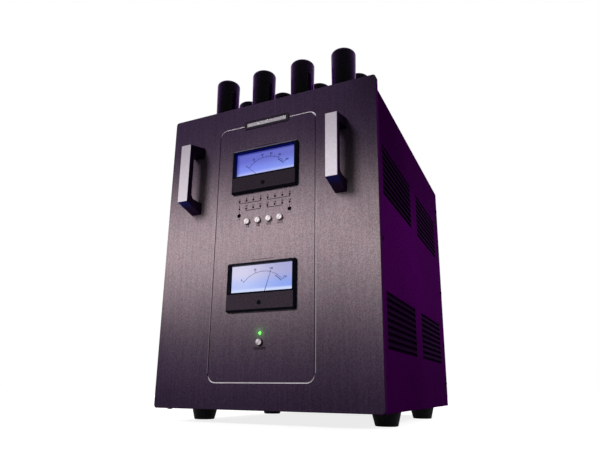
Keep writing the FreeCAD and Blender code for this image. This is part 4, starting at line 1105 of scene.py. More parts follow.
def lettering(name: str, words: str, size: float, at: tuple[float, float, float]) -> bpy.types.Object:
    """Printed figures that stand on a face and are read from in front.

    Args:
        name: The piece's name.
        words: What is printed.
        size: The height of a line.
        at: Where their middle is, at the face's depth.

    Returns:
        The new piece, as thick as ink.
    """
    deselect()
    bpy.ops.object.text_add()
    text = bpy.context.object
    text.data.body = words
    text.data.size = size
    text.data.offset = size * 0.035
    text.data.align_x = "CENTER"
    text.data.align_y = "CENTER"
    text.data.extrude = INK_THICK / 2
    text.data.resolution_u = 2
    bpy.ops.object.convert(target="MESH")
    bpy.context.object.rotation_euler = (math.pi / 2, 0, 0)
    bpy.context.object.location = at
    return settle(name)


def stroke(name: str, start: Span, end: Span, y: float, width: float) -> bpy.types.Object:
    """A printed line across or up a face, as thick as ink.

    Args:
        name: The piece's name.
        start: (x, z) of one end.
        end: (x, z) of the other end.
        y: The depth of the line's middle.
        width: How wide the line is.

    Returns:
        The new piece.
    """
    half = width / 2
    low = (min(start[0], end[0]) - half, y - INK_THICK / 2, min(start[1], end[1]) - half)
    high = (max(start[0], end[0]) + half, y + INK_THICK / 2, max(start[1], end[1]) + half)
    return block(name, low, high)


def joined(name: str, pieces: list[bpy.types.Object]) -> bpy.types.Object:
    """Make one piece of several.

    Args:
        name: The name of the whole.
        pieces: What it is made of.

    Returns:
        The whole.
    """
    deselect()
    for piece in pieces:
        piece.select_set(True)
    bpy.context.view_layer.objects.active = pieces[0]
    bpy.ops.object.join()
    return settle(name)


def moved_copy(piece: bpy.types.Object, name: str, offset: Vector) -> bpy.types.Object:
    """A copy with a mesh of its own, moved within that mesh.

    Args:
        piece: The piece to copy.
        name: The copy's name.
        offset: How far the copy is moved.

    Returns:
        The copy.
    """
    copy = piece.copy()
    copy.data = piece.data.copy()
    copy.name = name
    copy.data.name = name
    bpy.context.scene.collection.objects.link(copy)
    copy.data.transform(Matrix.Translation(offset))
    return copy


def fit(
    piece: bpy.types.Object, finish: Finish, body: str = "chassis", stands_for: tuple = (),
) -> None:
    """Give a new piece its finish and its place in the frame.

    Args:
        piece: The piece.
        finish: What it is finished in.
        body: The CAD body that it moves with.
        stands_for: The CAD parts that it is shown instead of.
    """
    piece.data.materials.clear()
    piece.data.materials.append(finish.material())
    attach(piece, body)
    if stands_for:
        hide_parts(*stands_for)
    log.info("%s: %d faces, on %s", piece.name, len(piece.data.polygons), body)


def coat(finish: Finish, *nodes: str) -> None:
    """Give CAD parts their finish.

    Args:
        finish: What they are finished in.
        nodes: Their names.
    """
    for node in nodes:
        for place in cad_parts[node].material_slots:
            place.material = finish.material()
        log.info("%s: %s", node, finish.name)


def middle_of(node: str) -> Vector:
    """The middle of a CAD part's box."""
    low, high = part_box(node)
    return (low + high) / 2


# The front

@dataclass
class FrontPanel:
    """The tall panel and what is printed on it."""

    columns: int = 8
    lens: float = 5.0 * MM           # the lamps' box reaches half of this past their middles
    number_size: float = 4.2 * MM
    line: float = 0.95 * MM
    drop: float = 3.6 * MM           # from a row of lamps down to its bracket
    rise: float = 3.6 * MM           # from a row of lamps up to its numbers
    brackets: tuple[tuple[int, int], ...] = ((1, 4), (5, 8), (10, 12), (13, 15))
    ring: Span = (2.6 * MM, 3.3 * MM)    # printed round each adjuster's hole
    stem_gap: float = 4.32 * MM      # from an adjuster's middle up to its stem
    signs_drop: float = 6.12 * MM
    button_drop: float = 8.6 * MM
    power_drop: float = 9.4 * MM
    power_size: float = 5.25 * MM
    rule: float = 20 * MM            # half the length of the plain rule over each meter
    rule_rise: float = 4.2 * MM
    rule_line: float = 0.665 * MM
    # deep and pale are the ends of the panel's painted light band.
    finish: PanelFinish = PanelFinish(
        "brushed_panel", (0.031, 0.0185, 0.041), (0.345, 0.267, 0.293),
        metallic=0.0, roughness=(0.42, 0.52), grain=Grain.UPRIGHT, grain_size=0.5 * MM,
        mottle=2.0 * MM, bump=0.2, specular=0.0,
    )

    def lamp_places(self) -> list[Span]:
        """(x, z) of the status lamps.

        Returns:
            Their places row by row, from the top left.
        """
        low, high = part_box("tube_status_lamps")
        half = self.lens / 2
        pitch = (high.x - low.x - self.lens) / (self.columns - 1)
        xs = [low.x + half + pitch * i for i in range(self.columns)]
        return [(x, z) for z in (high.z - half, low.z + half) for x in xs]

    def lamp_marks(self, places: list[Span], y: float) -> list[bpy.types.Object]:
        """A number over each lamp, and a bracket under each group of lamps.

        Args:
            places: (x, z) of the lamps.
            y: The depth of the print's middle.

        Returns:
            The marks.
        """
        marks = []
        for count, (x, z) in enumerate(places):
            marks.append(lettering("mark", str(count + 1), self.number_size, (x, y, z + self.rise)))
        for first, last in self.brackets:
            (x0, z), (x1, _) = places[first - 1], places[last - 1]
            base = z - self.drop
            for x in (x0, x1):
                marks.append(stroke("mark", (x, base), (x, z - self.drop / 2), y, self.line))
            marks.append(stroke("mark", (x0, base), (x1, base), y, self.line))
        return marks

    def adjuster_marks(self, lamp: Span, trimmer: str, y: float) -> list[bpy.types.Object]:
        """The ring round an adjuster's hole, the stem from its lamp, and a minus and a plus.

        Args:
            lamp: (x, z) of the lamp above it.
            trimmer: The adjuster's CAD part.
            y: The depth of the print's middle.

        Returns:
            The marks.
        """
        x, z = lamp
        hole = middle_of(trimmer)
        below = (hole.x, y, hole.z - self.signs_drop)
        return [
            arc_band("mark", Vector((hole.x, y, hole.z)), self.ring, (0, 360)),
            stroke("mark", (x, z - self.drop), (x, hole.z + self.stem_gap), y, self.line),
            lettering("mark", "- +", self.number_size, below),
        ]

    def marks(self) -> bpy.types.Object:
        """Print the lamps' numbers and brackets, and the marks of adjusters, buttons and meters.

        Returns:
            All of the panel's prints as one piece.
        """
        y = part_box("front_panel")[0].y - INK_THICK / 2
        places = self.lamp_places()
        marks = self.lamp_marks(places, y)
        marks += self.adjuster_marks(places[self.columns], "bias_trimmer_left", y)
        marks += self.adjuster_marks(places[-1], "bias_trimmer_right", y)
        for count in range(4):
            button = middle_of(f"meter_button_{count + 1}")
            below = (button.x, y, button.z - self.button_drop)
            marks.append(lettering("mark", f"{count * 4 + 1}-{count * 4 + 4}", self.number_size, below))
        power = middle_of("power_button")
        marks.append(lettering("mark", "ON/OFF", self.power_size, (power.x, y, power.z - self.power_drop)))
        for meter in ("bias_meter_case", "line_meter_case"):
            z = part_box(meter)[1].z + self.rule_rise
            marks.append(stroke("mark", (-self.rule, z), (self.rule, z), y, self.rule_line))
        return joined("panel_marks", marks)

    def dress(self) -> None:
        """Finish the panel, and print on it."""
        coat(self.finish, "front_panel")
        fit(self.marks(), BLACK_INK)


@dataclass
class Nameplate:
    """The bare plate across the groove: a dark field, a thin dark rim and a fluted silver inlay."""

    rim: float = 0.9 * MM
    sink: float = 0.35 * MM
    corner: float = 3.0 * MM
    inlay_wide: float = 71 * MM
    inlay_high: float = 6.2 * MM
    inlay_proud: float = 0.05 * MM   # past the plate's own front
    flutes: int = 44
    flute_share: float = 0.34        # half of a flute's width in shares of their pitch
    flute_edge: float = 0.12 * MM
    rim_finish: Finish = Finish(
        "nameplate_rim", (0.014, 0.008, 0.016), (0.035, 0.022, 0.038), metallic=0.9,
        roughness=(0.25, 0.35), grain=Grain.ACROSS, edge_tint=(0.4, 0.38, 0.42),
    )
    field_finish: Finish = Finish(
        "nameplate_field", (0.004, 0.003, 0.006), (0.009, 0.007, 0.012), roughness=(0.35, 0.5), specular=0.15,
    )
    inlay_finish: Finish = Finish(
        "nameplate_inlay", (0.4, 0.36, 0.41), (0.66, 0.6, 0.66), metallic=0.9, roughness=(0.2, 0.3),
        grain=Grain.ACROSS,
    )

    def plate(self) -> bpy.types.Object:
        """The plate, with rounded corners and its field sunk inside the rim.

        Returns:
            The new piece.
        """
        piece = block("nameplate_plate", *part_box("nameplate"))
        hold(piece)
        bpy.ops.object.mode_set(mode="EDIT")
        bpy.ops.mesh.select_mode(type="EDGE")
        bpy.ops.mesh.select_all(action="DESELECT")
        bpy.ops.object.mode_set(mode="OBJECT")
        for edge in piece.data.edges:
            a, b = (piece.data.vertices[i].co for i in edge.vertices)
            edge.select = abs(a.y - b.y) > self.rim
        bpy.ops.object.mode_set(mode="EDIT")
        bpy.ops.mesh.bevel(offset=self.corner, segments=6)
        bpy.ops.mesh.select_mode(type="FACE")
        bpy.ops.mesh.select_all(action="DESELECT")
        bpy.ops.object.mode_set(mode="OBJECT")
        for face in piece.data.polygons:
            face.select = face.normal.y < -0.9
        bpy.ops.object.mode_set(mode="EDIT")
        bpy.ops.mesh.inset(thickness=self.rim, depth=0)
        bpy.ops.mesh.extrude_region_move(TRANSFORM_OT_translate={"value": (0, self.sink, 0)})
        bpy.ops.object.mode_set(mode="OBJECT")
        return piece

    def inlay(self) -> bpy.types.Object:
        """The flutes, side by side on the field.

        Returns:
            All of them as one piece.
        """
        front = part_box("nameplate")[0].y + self.sink
        middle = middle_of("nameplate")
        pitch = self.inlay_wide / self.flutes
        bars = []
        for count in range(self.flutes):
            x = middle.x + pitch * (count - (self.flutes - 1) / 2)
            a = (x - pitch * self.flute_share, front - self.sink * 0.9, middle.z - self.inlay_high / 2)
            b = (x + pitch * self.flute_share, front + self.inlay_proud, middle.z + self.inlay_high / 2)
            bars.append(block("flute", a, b, edge=self.flute_edge, steps=1))
        return joined("nameplate_inlay", bars)

    def dress(self) -> None:
        """Finish the rim, the field and the inlay."""
        plate = self.plate()
        fit(plate, self.rim_finish, stands_for=("nameplate",))
        plate.data.materials.append(self.field_finish.material())
        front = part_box("nameplate")[0].y
        for face in plate.data.polygons:
            face.material_index = int(face.normal.y < -0.9 and face.center.y > front + self.sink / 2)
        fit(self.inlay(), self.inlay_finish)


@dataclass
class Handles:
    """The two machined bar handles."""

    # deep and pale are the sides' painted shade.
    finish: HandleFinish = HandleFinish(
        "machined_handle", (0.011, 0.004, 0.018), (0.02, 0.009, 0.032), bump=0.05,
        metallic=0.85, roughness=(0.3, 0.4), grain=Grain.UPRIGHT, grain_size=0.5 * MM,
        wear=0.25, worn=(0.5, 0.46, 0.52), edge_tint=(0.55, 0.5, 0.62),
    )

    def dress(self) -> None:
        """Finish both handles and the bolts behind the panel."""
        coat(self.finish, "handle_left", "handle_right")
        coat(BLACK_STEEL, "panel_bolts")


@dataclass
class Meter:
    """One meter: its case, its lit dial with a printed scale, its strip and its moving pieces.

    Heights count up from the case's lower edge.
    """

    name: str
    light: DialFinish
    last_number: int
    steps: int                       # from one end of the scale to the other
    radius: float
    strip_tone: float
    # Painted reflection on the window's walls, and painted highlight on the bezel's top bevel.
    mirrored: Colour = (0.0, 0.002, 0.12)
    bevel: Colour = (0.1, 0.085, 0.088)
    ink: Finish = DIAL_INK
    pivot_up: float = 17 * MM
    screw_up: float = 12.3 * MM
    screw_room: float = 3.5 * MM
    sweep: float = 48.5
    line: float = 0.65 * MM
    heavy_in: float = 2.6 * MM       # from the arc in to its heavy stretch
    heavy_from: float = 0.62         # where that begins, in shares of the right half
    tick: float = 2.6 * MM
    number_out: float = 5.2 * MM     # from the arc out to the numbers' middles
    number_size: float = 4.2 * MM
    strip_up: Span = (2.9 * MM, 26.3 * MM)
    strip_side: float = 3.1 * MM
    strip_thick: float = 0.25 * MM
    strip_deep: Colour = (0.02, 0.0135, 0.021)
    strip_pale: Colour = (0.033, 0.024, 0.034)

    def scale(self) -> bpy.types.Object:
        """The printed arc, its ticks and numbers, and the heavy stretch at its right end.

        Returns:
            All of it as one piece.
        """
        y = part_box(self.name + "_dial")[0].y - INK_THICK / 2
        pivot = Vector((0, y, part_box(self.name + "_case")[0].z + self.pivot_up))
        half = self.line / 2
        heavy = self.radius - self.heavy_in
        pieces = [
            arc_band("mark", pivot, (self.radius - half, self.radius + half), (-self.sweep, self.sweep), 48),
            arc_band("mark", pivot, (heavy - self.line, heavy + self.line),
                     (self.sweep * self.heavy_from, self.sweep)),
        ]
        for count in range(self.steps * 2 + 1):
            angle = -self.sweep + self.sweep * count / self.steps
            whole = count % 2 == 0
            reach = self.tick if whole else self.tick / 2
            wide = math.degrees(self.line * (0.7 if whole else 0.5) / self.radius)
            spans = (self.radius, self.radius + reach), (angle - wide, angle + wide)
            pieces.append(arc_band("mark", pivot, *spans, 1))
            if whole:
                turn = math.radians(angle)
                words = str(round(self.last_number * count / (self.steps * 2)))
                at = pivot + Vector((math.sin(turn), 0, math.cos(turn))) * (self.radius + self.number_out)
                pieces.append(lettering("mark", words, self.number_size, at))
        return joined(self.name + "_scale", pieces)

    def strip(self) -> bpy.types.Object:
        """The blank grey insert under the window, with a hole round the zero screw.

        Returns:
            The new piece.
        """
        low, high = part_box(self.name + "_case")
        lower, upper = (low.z + up for up in self.strip_up)
        corner = (low.x + self.strip_side, low.y - self.strip_thick, lower)
        other = (high.x - self.strip_side, low.y, upper)
        piece = block(self.name + "_strip", corner, other, edge=0.1 * MM, steps=1)
        middle = low.z + self.screw_up
        ends = [(0, low.y + past, middle) for past in (-5 * MM, 5 * MM)]
        cutter = rod("cutter", self.screw_room, *ends, 40)
        modify(piece, "BOOLEAN", operation="DIFFERENCE", object=cutter, solver="EXACT")
        bpy.data.objects.remove(cutter)
        return piece

    def dress(self) -> None:
        """Finish the CAD parts and add the strip and the scale."""
        coat(BezelFinish(
            self.name + "_gloss_black", (0.0013, 0.0011, 0.0018), (0.0025, 0.0022, 0.0035),
            roughness=(0.22, 0.34), grain_size=0.8 * MM, bump=0.02, wear=0.1, worn=(0.04, 0.033, 0.045),
            specular=0.02, window=self.light.window, mirrored=self.mirrored, top=self.bevel,
        ), self.name + "_case")
        coat(self.light, self.name + "_dial")
        coat(DIAL_INK, self.name + "_needle")
        coat(SCREW_BLACK, self.name + "_zero_screw")
        deep, pale = (tuple(v * self.strip_tone for v in c) for c in (self.strip_deep, self.strip_pale))
        fit(self.strip(), Finish(
            self.name + "_satin_grey", deep, pale, metallic=0.2, roughness=(0.4, 0.55),
            grain=Grain.ACROSS, grain_size=0.3 * MM, specular=0.05,
        ))
        fit(self.scale(), self.ink)


@dataclass
class Meters:
    """Both meters, with the panes and movements that they share."""

    window_half: float = 53.5 * MM
    window_up: Span = (28.9 * MM, 71.1 * MM)
    pane: GlassFinish = GlassFinish(
        "clear_pane", (0.97, 0.97, 1.0), WHITE, roughness=(0.0, 0.0), bump=0.0, bend=1.02,
    )
    movement: Finish = Finish(
        "movement_steel", (0.3, 0.3, 0.32), (0.45, 0.45, 0.47), metallic=1.0, grain=Grain.ACROSS,
    )

    def light(self, name: str, **looks: object) -> DialFinish:
        """One dial's light behind its window.

        Args:
            name: The meter's name.
            looks: What is special about its light.

        Returns:
            The dial's finish.
        """
        lower, upper = (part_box(name + "_case")[0].z + up for up in self.window_up)
        return DialFinish(
            name + "_light", (0.01, 0.01, 0.02), (0.02, 0.02, 0.03), roughness=(0.7, 0.8), bump=0.0,
            specular=0.0, window=(-self.window_half, self.window_half, lower, upper), **looks,
        )

    def dress(self) -> None:
        """Finish the blue meter, the pale one below it, the panes and the movements."""
        blue = self.light("bias_meter", shade=0.7)
        Meter("bias_meter", blue, 100, 5, 43.1 * MM, 0.75).dress()
        pale = self.light(
            "line_meter", left_top=(0.66, 0.64, 0.825), right_top=(0.4, 0.4, 0.66),
            left_low=(0.49, 0.571, 0.91), right_low=(0.27, 0.38, 0.863), glow=(0.62, 0.7, 0.97), glow_top=0.2,
        )
        Meter(
            "line_meter", pale, 150, 3, 44.2 * MM, 1.25,
            mirrored=(0.0, 0.0, 0.01), bevel=(0.008, 0.007, 0.01), ink=PALE_INK,
        ).dress()
        coat(self.pane, "meter_windows")
        coat(self.movement, "meter_movements")


@dataclass
class Controls:
    """Lamps, buttons and adjusters on the panel, and the boards behind it."""

    red: Finish = Finish(
        "unlit_red_lens", (0.015, 0.002, 0.004), (0.04, 0.005, 0.009), roughness=(0.15, 0.25), specular=0.1,
    )
    adjuster: Finish = Finish(
        "adjuster_plastic", (0.002, 0.002, 0.003), (0.005, 0.0045, 0.006),
        roughness=(0.4, 0.5), specular=0.05,
    )
    button_tones: tuple[Colour, Colour] = ((0.5, 0.42, 0.45), (0.98, 0.9, 0.92))
    power_tones: tuple[Colour, Colour] = ((0.2, 0.16, 0.19), (0.7, 0.63, 0.67))
    dome_radius: float = 2.45 * MM
    dome_proud: float = 1.1 * MM
    halo_colour: Colour = (0.15, 1.0, 0.1)
    halo_power: float = 0.0035
    halo_ahead: float = 5 * MM

    def button(self, node: str, tones: tuple[Colour, Colour]) -> None:
        """Finish one turned button cap about its own middle.

        Args:
            node: The button's CAD part.
            tones: Its darkest and palest metal.
        """
        middle = middle_of(node)
        coat(TurnedFinish(
            node + "_silver", *tones, metallic=0.75, roughness=(0.25, 0.35),
            centre=(middle.x, middle.z), bump=0.05,
        ), node)

    def dome(self) -> bpy.types.Object:
        """The power lamp's lens where it stands out of its hole.

        Returns:
            The new piece.
        """
        lamp = middle_of("power_lamp")
        seat = (lamp.x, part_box("front_panel")[0].y, lamp.z)
        r, h = self.dome_radius, self.dome_proud
        outline = [(0, 0), (r, 0)]
        outline += [(r * math.cos(a), h * math.sin(a)) for a in (0.3, 0.6, 0.9, 1.2)]
        piece = turned("power_lamp_dome", outline + [(0, h)], 24)
        piece.data.transform(Matrix.Translation(seat) @ Matrix.Rotation(math.pi / 2, 4, "X"))
        return piece

    def halo(self) -> None:
        """The green light that the power lamp throws on the panel."""
        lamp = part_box("power_lamp")
        deselect()
        place = (0, lamp[0].y - self.halo_ahead, (lamp[0].z + lamp[1].z) / 2)
        bpy.ops.object.light_add(type="POINT", location=place)
        halo = bpy.context.object
        halo.name = "power_lamp_halo"
        halo.data.color = self.halo_colour
        halo.data.energy = self.halo_power
        halo.data.shadow_soft_size = 1 * MM
        halo.visible_camera = False
        halo.visible_glossy = False

    def dress(self) -> None:
        """Finish them all, and light the power lamp."""
        coat(self.red, "tube_status_lamps")
        place = middle_of("power_lamp")
        green = LampFinish(
            "lit_green_lens", (0.1, 0.5, 0.1), (0.15, 0.6, 0.12), roughness=(0.2, 0.3), specular=0.1,
            light=(0.1, 0.55, 0.06), core=(0.7, 1.0, 0.5), strength=0.8, middle=(place.x, place.z),
        )
        coat(green, "power_lamp")
        fit(self.dome(), green)
        coat(self.adjuster, "bias_trimmer_left", "bias_trimmer_right")
        for count in range(4):
            self.button(f"meter_button_{count + 1}", self.button_tones)
        self.button("power_button", self.power_tones)
        coat(board_mask("solder_mask"), "control_boards")
        self.halo()


# The case

@dataclass
class Case:
    """Covers, deck, rear and bottom plates, the frame inside them, screws and feet.

    Dark gauze stands behind the side vents as painted shade, so that the lit inside of the case does not show
    through them.
    """

    paint: CoverFinish = CoverFinish(
        "aubergine_paint", (0.026, 0.0006, 0.036), (0.038, 0.001, 0.05),
        metallic=0.4, roughness=(0.42, 0.55), grain_size=0.7 * MM, bump=0.12,
        wear=0.2, worn=(0.06, 0.01, 0.07), specular=0.0, edge_tint=(0.2, 0.01, 0.22),
    )
    screw_paint: Finish = Finish(
        "painted_screw", (0.016, 0.001, 0.022), (0.028, 0.002, 0.036), metallic=0.3,
        roughness=(0.4, 0.55), specular=0.0, edge_tint=(0.2, 0.01, 0.22),
    )
    # Darkened well below bare aluminium, as painted shade inside the case.
    frame_finish: Finish = Finish(
        "mill_aluminium", (0.03, 0.03, 0.035), (0.06, 0.058, 0.066), metallic=0.7,
        grain=Grain.LENGTHWISE, roughness=(0.4, 0.55), edge_tint=(0.7, 0.7, 0.7),
    )
    # The gauze is near black as painted shade for the inside of the case.
    gauze_finish: GauzeFinish = GauzeFinish(
        "shade_gauze", (0.003, 0.0003, 0.005), (0.006, 0.0008, 0.009),
        roughness=(0.5, 0.7), bump=0.1, specular=0.0,
    )
    gauze_gap: float = 0.1 * MM
    gauze_thick: float = 0.3 * MM    # at its hem, and half of that inside it
    gauze_hem: float = 3 * MM
    gauze_along: Span = (-208 * MM, 201.5 * MM)
    gauze_heights: tuple[Span, Span] = ((100 * MM, 188 * MM), (325.5 * MM, 413.5 * MM))

    def gauze(self) -> bpy.types.Object:
        """Sheets of gauze with hemmed edges, two behind each side cover, as painted shade behind the vents.

        Returns:
            All four as one piece.
        """
        sheets = []
        hem = self.gauze_hem
        front, rear = self.gauze_along
        for side in (-1, 1):
            wall = side * (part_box("side_cover_right")[0].x - self.gauze_gap)
            left, right = sorted((wall, wall - side * self.gauze_thick))
            thin_left, thin_right = sorted((wall, wall - side * self.gauze_thick / 2))
            for low, high in self.gauze_heights:
                for y in (front, rear - hem):
                    sheets.append(block("hem", (left, y, low), (right, y + hem, high)))
                for z in (low, high - hem):
                    sheets.append(block("hem", (left, front + hem, z), (right, rear - hem, z + hem)))
                corner = (thin_left, front + hem, low + hem)
                sheets.append(block("gauze", corner, (thin_right, rear - hem, high - hem)))
        return joined("vent_shade_gauze", sheets)

    def dress(self) -> None:
        """Finish every part of the case, and put in the gauze that stands in as painted shade."""
        fit(self.gauze(), self.gauze_finish)
        coat(self.paint, "side_cover_left", "side_cover_right", "top_deck", "rear_panel", "bottom_plate")
        coat(self.screw_paint, "cover_screws")
        coat(self.frame_finish, "chassis_frame")
        coat(RUBBER, "feet")


@dataclass
class RearFittings:
    """Mains inlet, input socket and speaker terminals."""

    black: Finish = Finish(
        "inlet_plastic", (0.008, 0.008, 0.009), (0.016, 0.016, 0.018),
        roughness=(0.35, 0.5), bump=0.1, specular=0.3,
    )
    brass: Finish = Finish(
        "gold_plated_brass", (0.6, 0.42, 0.16), (0.83, 0.62, 0.28), metallic=1.0, roughness=(0.2, 0.32),
        grain=Grain.LENGTHWISE,
    )
    red_nut: Finish = Finish(
        "red_nut", (0.3, 0.008, 0.008), (0.5, 0.02, 0.02), roughness=(0.18, 0.3), bump=0.05,
    )
    black_nut: Finish = Finish(
        "black_nut", (0.01, 0.01, 0.01), (0.025, 0.025, 0.027), roughness=(0.18, 0.3), bump=0.05,
    )

    def dress(self) -> None:
        """Finish them."""
        coat(self.black, "mains_inlet", "input_socket")
        coat(self.brass, "speaker_posts")
        coat(self.red_nut, "speaker_nut_red")
        coat(self.black_nut, "speaker_nut_black")


@dataclass
class Inside:
    """What shows through the vents."""

    cap_tall: float = 8 * MM         # the bare top of a capacitor's can
    bulb_tall: float = 56 * MM       # the small tubes on the driver board
    # Darkened well below pale ceramic, as painted shade inside the case.
    ceramic: Finish = Finish(
        "socket_ceramic", (0.2, 0.185, 0.16), (0.3, 0.28, 0.25),
        roughness=(0.45, 0.6), dust=0.15, specular=0.1,
    )

    def transformer(self, node: str, half: float) -> None:
        """Finish one transformer about its own middle.

        Args:
            node: The transformer's CAD part.
            half: Half the depth of its laminations.
        """
        coat(CoreFinish(
            node + "_core", (0.02, 0.02, 0.022), (0.06, 0.06, 0.065), metallic=0.3,
            middle=middle_of(node).y, half=half,
        ), node)

    def dress(self) -> None:
        """Finish transformers, capacitors, boards and sockets."""
        self.transformer("power_transformer", 40 * MM)
        self.transformer("output_transformer", 35 * MM)
        coat(LayeredFinish(
            "sleeved_cans", (0.008, 0.01, 0.04), (0.014, 0.018, 0.07), roughness=(0.25, 0.4), specular=0.2,
            level=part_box("filter_capacitors")[1].z - self.cap_tall,
            above_deep=(0.12, 0.12, 0.13), above_pale=(0.25, 0.25, 0.26),
        ), "filter_capacitors")
        coat(LayeredFinish(
            "driver_board_and_tubes", *MASK_GREEN, roughness=(0.2, 0.4),
            level=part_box("driver_board")[1].z - self.bulb_tall,
            above_deep=(0.01, 0.01, 0.012), above_pale=(0.05, 0.045, 0.05),
        ), "driver_board")
        coat(board_mask("tube_board_mask"), "tube_board")
        coat(self.ceramic, "tube_sockets")


# The output tubes

@dataclass
class OutputTube:
    """A large smoked-glass output tube, modelled once about Z and copied into sixteen places.

    Heights count up from the seat of the base on its socket.
    """

    radius: float = 21 * MM
    low_radius: float = 19.6 * MM
    tall: float = 107 * MM
    shoulder: float = 6 * MM
    crown: float = 45 * MM
    wall: float = 1.2 * MM
    neck: float = 15.8 * MM
    foot: float = 3 * MM
    waist: float = 25 * MM
    flash_gap: float = 0.25 * MM
    flash_tall: float = 14 * MM
    flash_thick: float = 0.2 * MM
    base_radius: float = 18 * MM
    base_tall: float = 15 * MM
    base_recess: float = 0.7 * MM    # between the base's two beads
    base_step: float = 0.8 * MM
    pin_circle: float = 8.75 * MM
    pin_radius: float = 1.18 * MM
    pin_long: float = 11 * MM
    key_radius: float = 3.9 * MM
    key_long: float = 14 * MM
    key_ridge: float = 0.9 * MM      # half the width of the ridge that turns the tube the right way
    cage_low: float = 30 * MM
    cage_top: float = 80 * MM
    cage_half: float = 14 * MM
    cage_deep: float = 8 * MM
    cage_corner: float = 4 * MM
    ribs: int = 5
    rib_half: float = 0.8 * MM
    fin_half: float = 0.4 * MM
    fin_reach: float = 2.2 * MM
    post_radius: float = 0.7 * MM
    post_in: float = 5 * MM
    stem_radius: float = 6.5 * MM
    getter_up: float = 5 * MM
    getter_radius: float = 4.2 * MM
    getter_wire: float = 0.6 * MM
    mica: float = 17.8 * MM
    mica_thick: float = 0.6 * MM
    tip_radius: float = 1.2 * MM
    tip_tall: float = 2.5 * MM
    tip_off: float = 3 * MM
    glass: GlassFinish = GlassFinish(
        "smoked_glass", (0.02, 0.006, 0.028), (0.03, 0.01, 0.04), roughness=(0.02, 0.07), bump=0.0,
        specular=0.03, bend=1.1, bloom=1.0,
    )
    flash: Finish = Finish(
        "getter_mirror", (0.02, 0.013, 0.025), (0.07, 0.05, 0.08), metallic=1.0, roughness=(0.1, 0.3),
        grain_size=9 * MM, mottle=12 * MM, bump=0.0, edge_tint=(0.2, 0.1, 0.25),
    )
    phenolic: Finish = Finish(
        "tube_base_phenolic", (0.006, 0.004, 0.007), (0.014, 0.01, 0.016),
        roughness=(0.3, 0.45), bump=0.1, specular=0.25,
    )
    pin: Finish = Finish(
        "tube_pin_metal", (0.45, 0.42, 0.38), (0.65, 0.62, 0.58), metallic=1.0, roughness=(0.25, 0.4),
    )
    plate: Finish = Finish(
        "carbonised_plate", (0.02, 0.018, 0.02), (0.06, 0.055, 0.06),
        metallic=0.4, roughness=(0.5, 0.7), bump=0.3,
    )
    mica_sheet: Finish = Finish(
        "mica", (0.4, 0.38, 0.34), (0.6, 0.57, 0.52), roughness=(0.3, 0.5), bump=0.1,
    )
    heater: LampFinish = LampFinish(
        "heater_glow", (0.1, 0.02, 0.01), (0.2, 0.03, 0.01), light=(1.0, 0.08, 0.02), strength=3.0, bump=0.0,
    )

    def bulb_side(self, inset: float) -> list[Span]:
        """The bulb's outline from its foot to its crown.

        Args:
            inset: How far the outline is moved in.

        Returns:
            (radius, height) points.
        """
        across = self.radius - self.shoulder
        crown_z = self.tall - self.crown
        shoulder_z = crown_z + math.sqrt((self.crown - self.shoulder) ** 2 - across**2)
        lean = math.degrees(math.asin(across / (self.crown - self.shoulder)))
        points = [(self.neck - inset, self.foot), (self.neck - inset, self.base_tall)]
        points += [(self.low_radius - inset, self.waist), (self.radius - inset, shoulder_z)]
        points += arc((across, shoulder_z), self.shoulder - inset, 0, 90 - lean, 7)[1:]
        points += arc((0, crown_z), self.crown - inset, 90 - lean, 90, 7)[1:]
        return points

    def make_glass(self) -> bpy.types.Object:
        """The bulb, with its wall.

        Returns:
            The new piece.
        """
        outer = self.bulb_side(0)
        inner = self.bulb_side(self.wall)
        return turned("tube_glass", outer + inner[::-1] + outer[:1], 44, 40)

    def make_flash(self) -> bpy.types.Object:
        """The getter's dark mirror, close inside the crown.

        Returns:
            The new piece.
        """
        side = [p for p in self.bulb_side(self.wall + self.flash_gap) if p[1] > self.tall - self.flash_tall]
        back = [(r * 0.985, z - self.flash_thick) for r, z in side]
        back[-1] = (0, side[-1][1] - self.flash_thick)
        return turned("tube_flash", side + back[::-1] + side[:1], 40, 40)

    def make_base(self) -> bpy.types.Object:
        """The moulded base with a bead at its foot and its top, and the key below it.

        Returns:
            The new piece.
        """
        r, top = self.base_radius, self.base_tall
        waist, seat = r - self.base_recess, self.neck + 0.3 * MM
        outline = [
            (0, 0), (r - self.base_step, 0), (r, self.base_step), (r, 2.6 * MM), (waist, 3.2 * MM),
            (waist, top - 1.6 * MM), (r, top - 1.0 * MM), (r, top - 0.3 * MM), (r - 0.3 * MM, top),
            (seat, top), (seat, self.foot), (0, self.foot),
        ]
        body = turned("tube_base", outline, 44, 30)
        key = rod("key", self.key_radius, (0, 0, -self.key_long), (0, 0, 0), 20, self.base_step)
        start = (3.2 * MM, -self.key_ridge, -self.key_long + 1 * MM)
        ridge = block("ridge", start, (self.key_radius, self.key_ridge, 0))
        return joined("tube_base", [body, key, ridge])

    def make_pins(self) -> bpy.types.Object:
        """Eight pins round the key, rounded at their tips.

        Returns:
            All of them as one piece.
        """
        pins = []
        for count in range(8):
            turn = math.pi / 4 * (count + 0.5)
            x = self.pin_circle * math.cos(turn)
            y = self.pin_circle * math.sin(turn)
            pins.append(rod("pin", self.pin_radius, (x, y, -self.pin_long), (x, y, 0), 12, 0.5 * MM))
        return joined("tube_pins", pins)

    def upright(
        self, name: str, radius: float, span: Span, sides: int, x: float = 0.0, edge: float = 0.0,
    ) -> bpy.types.Object:
        """A rod that stands upright in the tube's middle plane, between two heights."""
        return rod(name, radius, (x, 0, span[0]), (x, 0, span[1]), sides, edge)

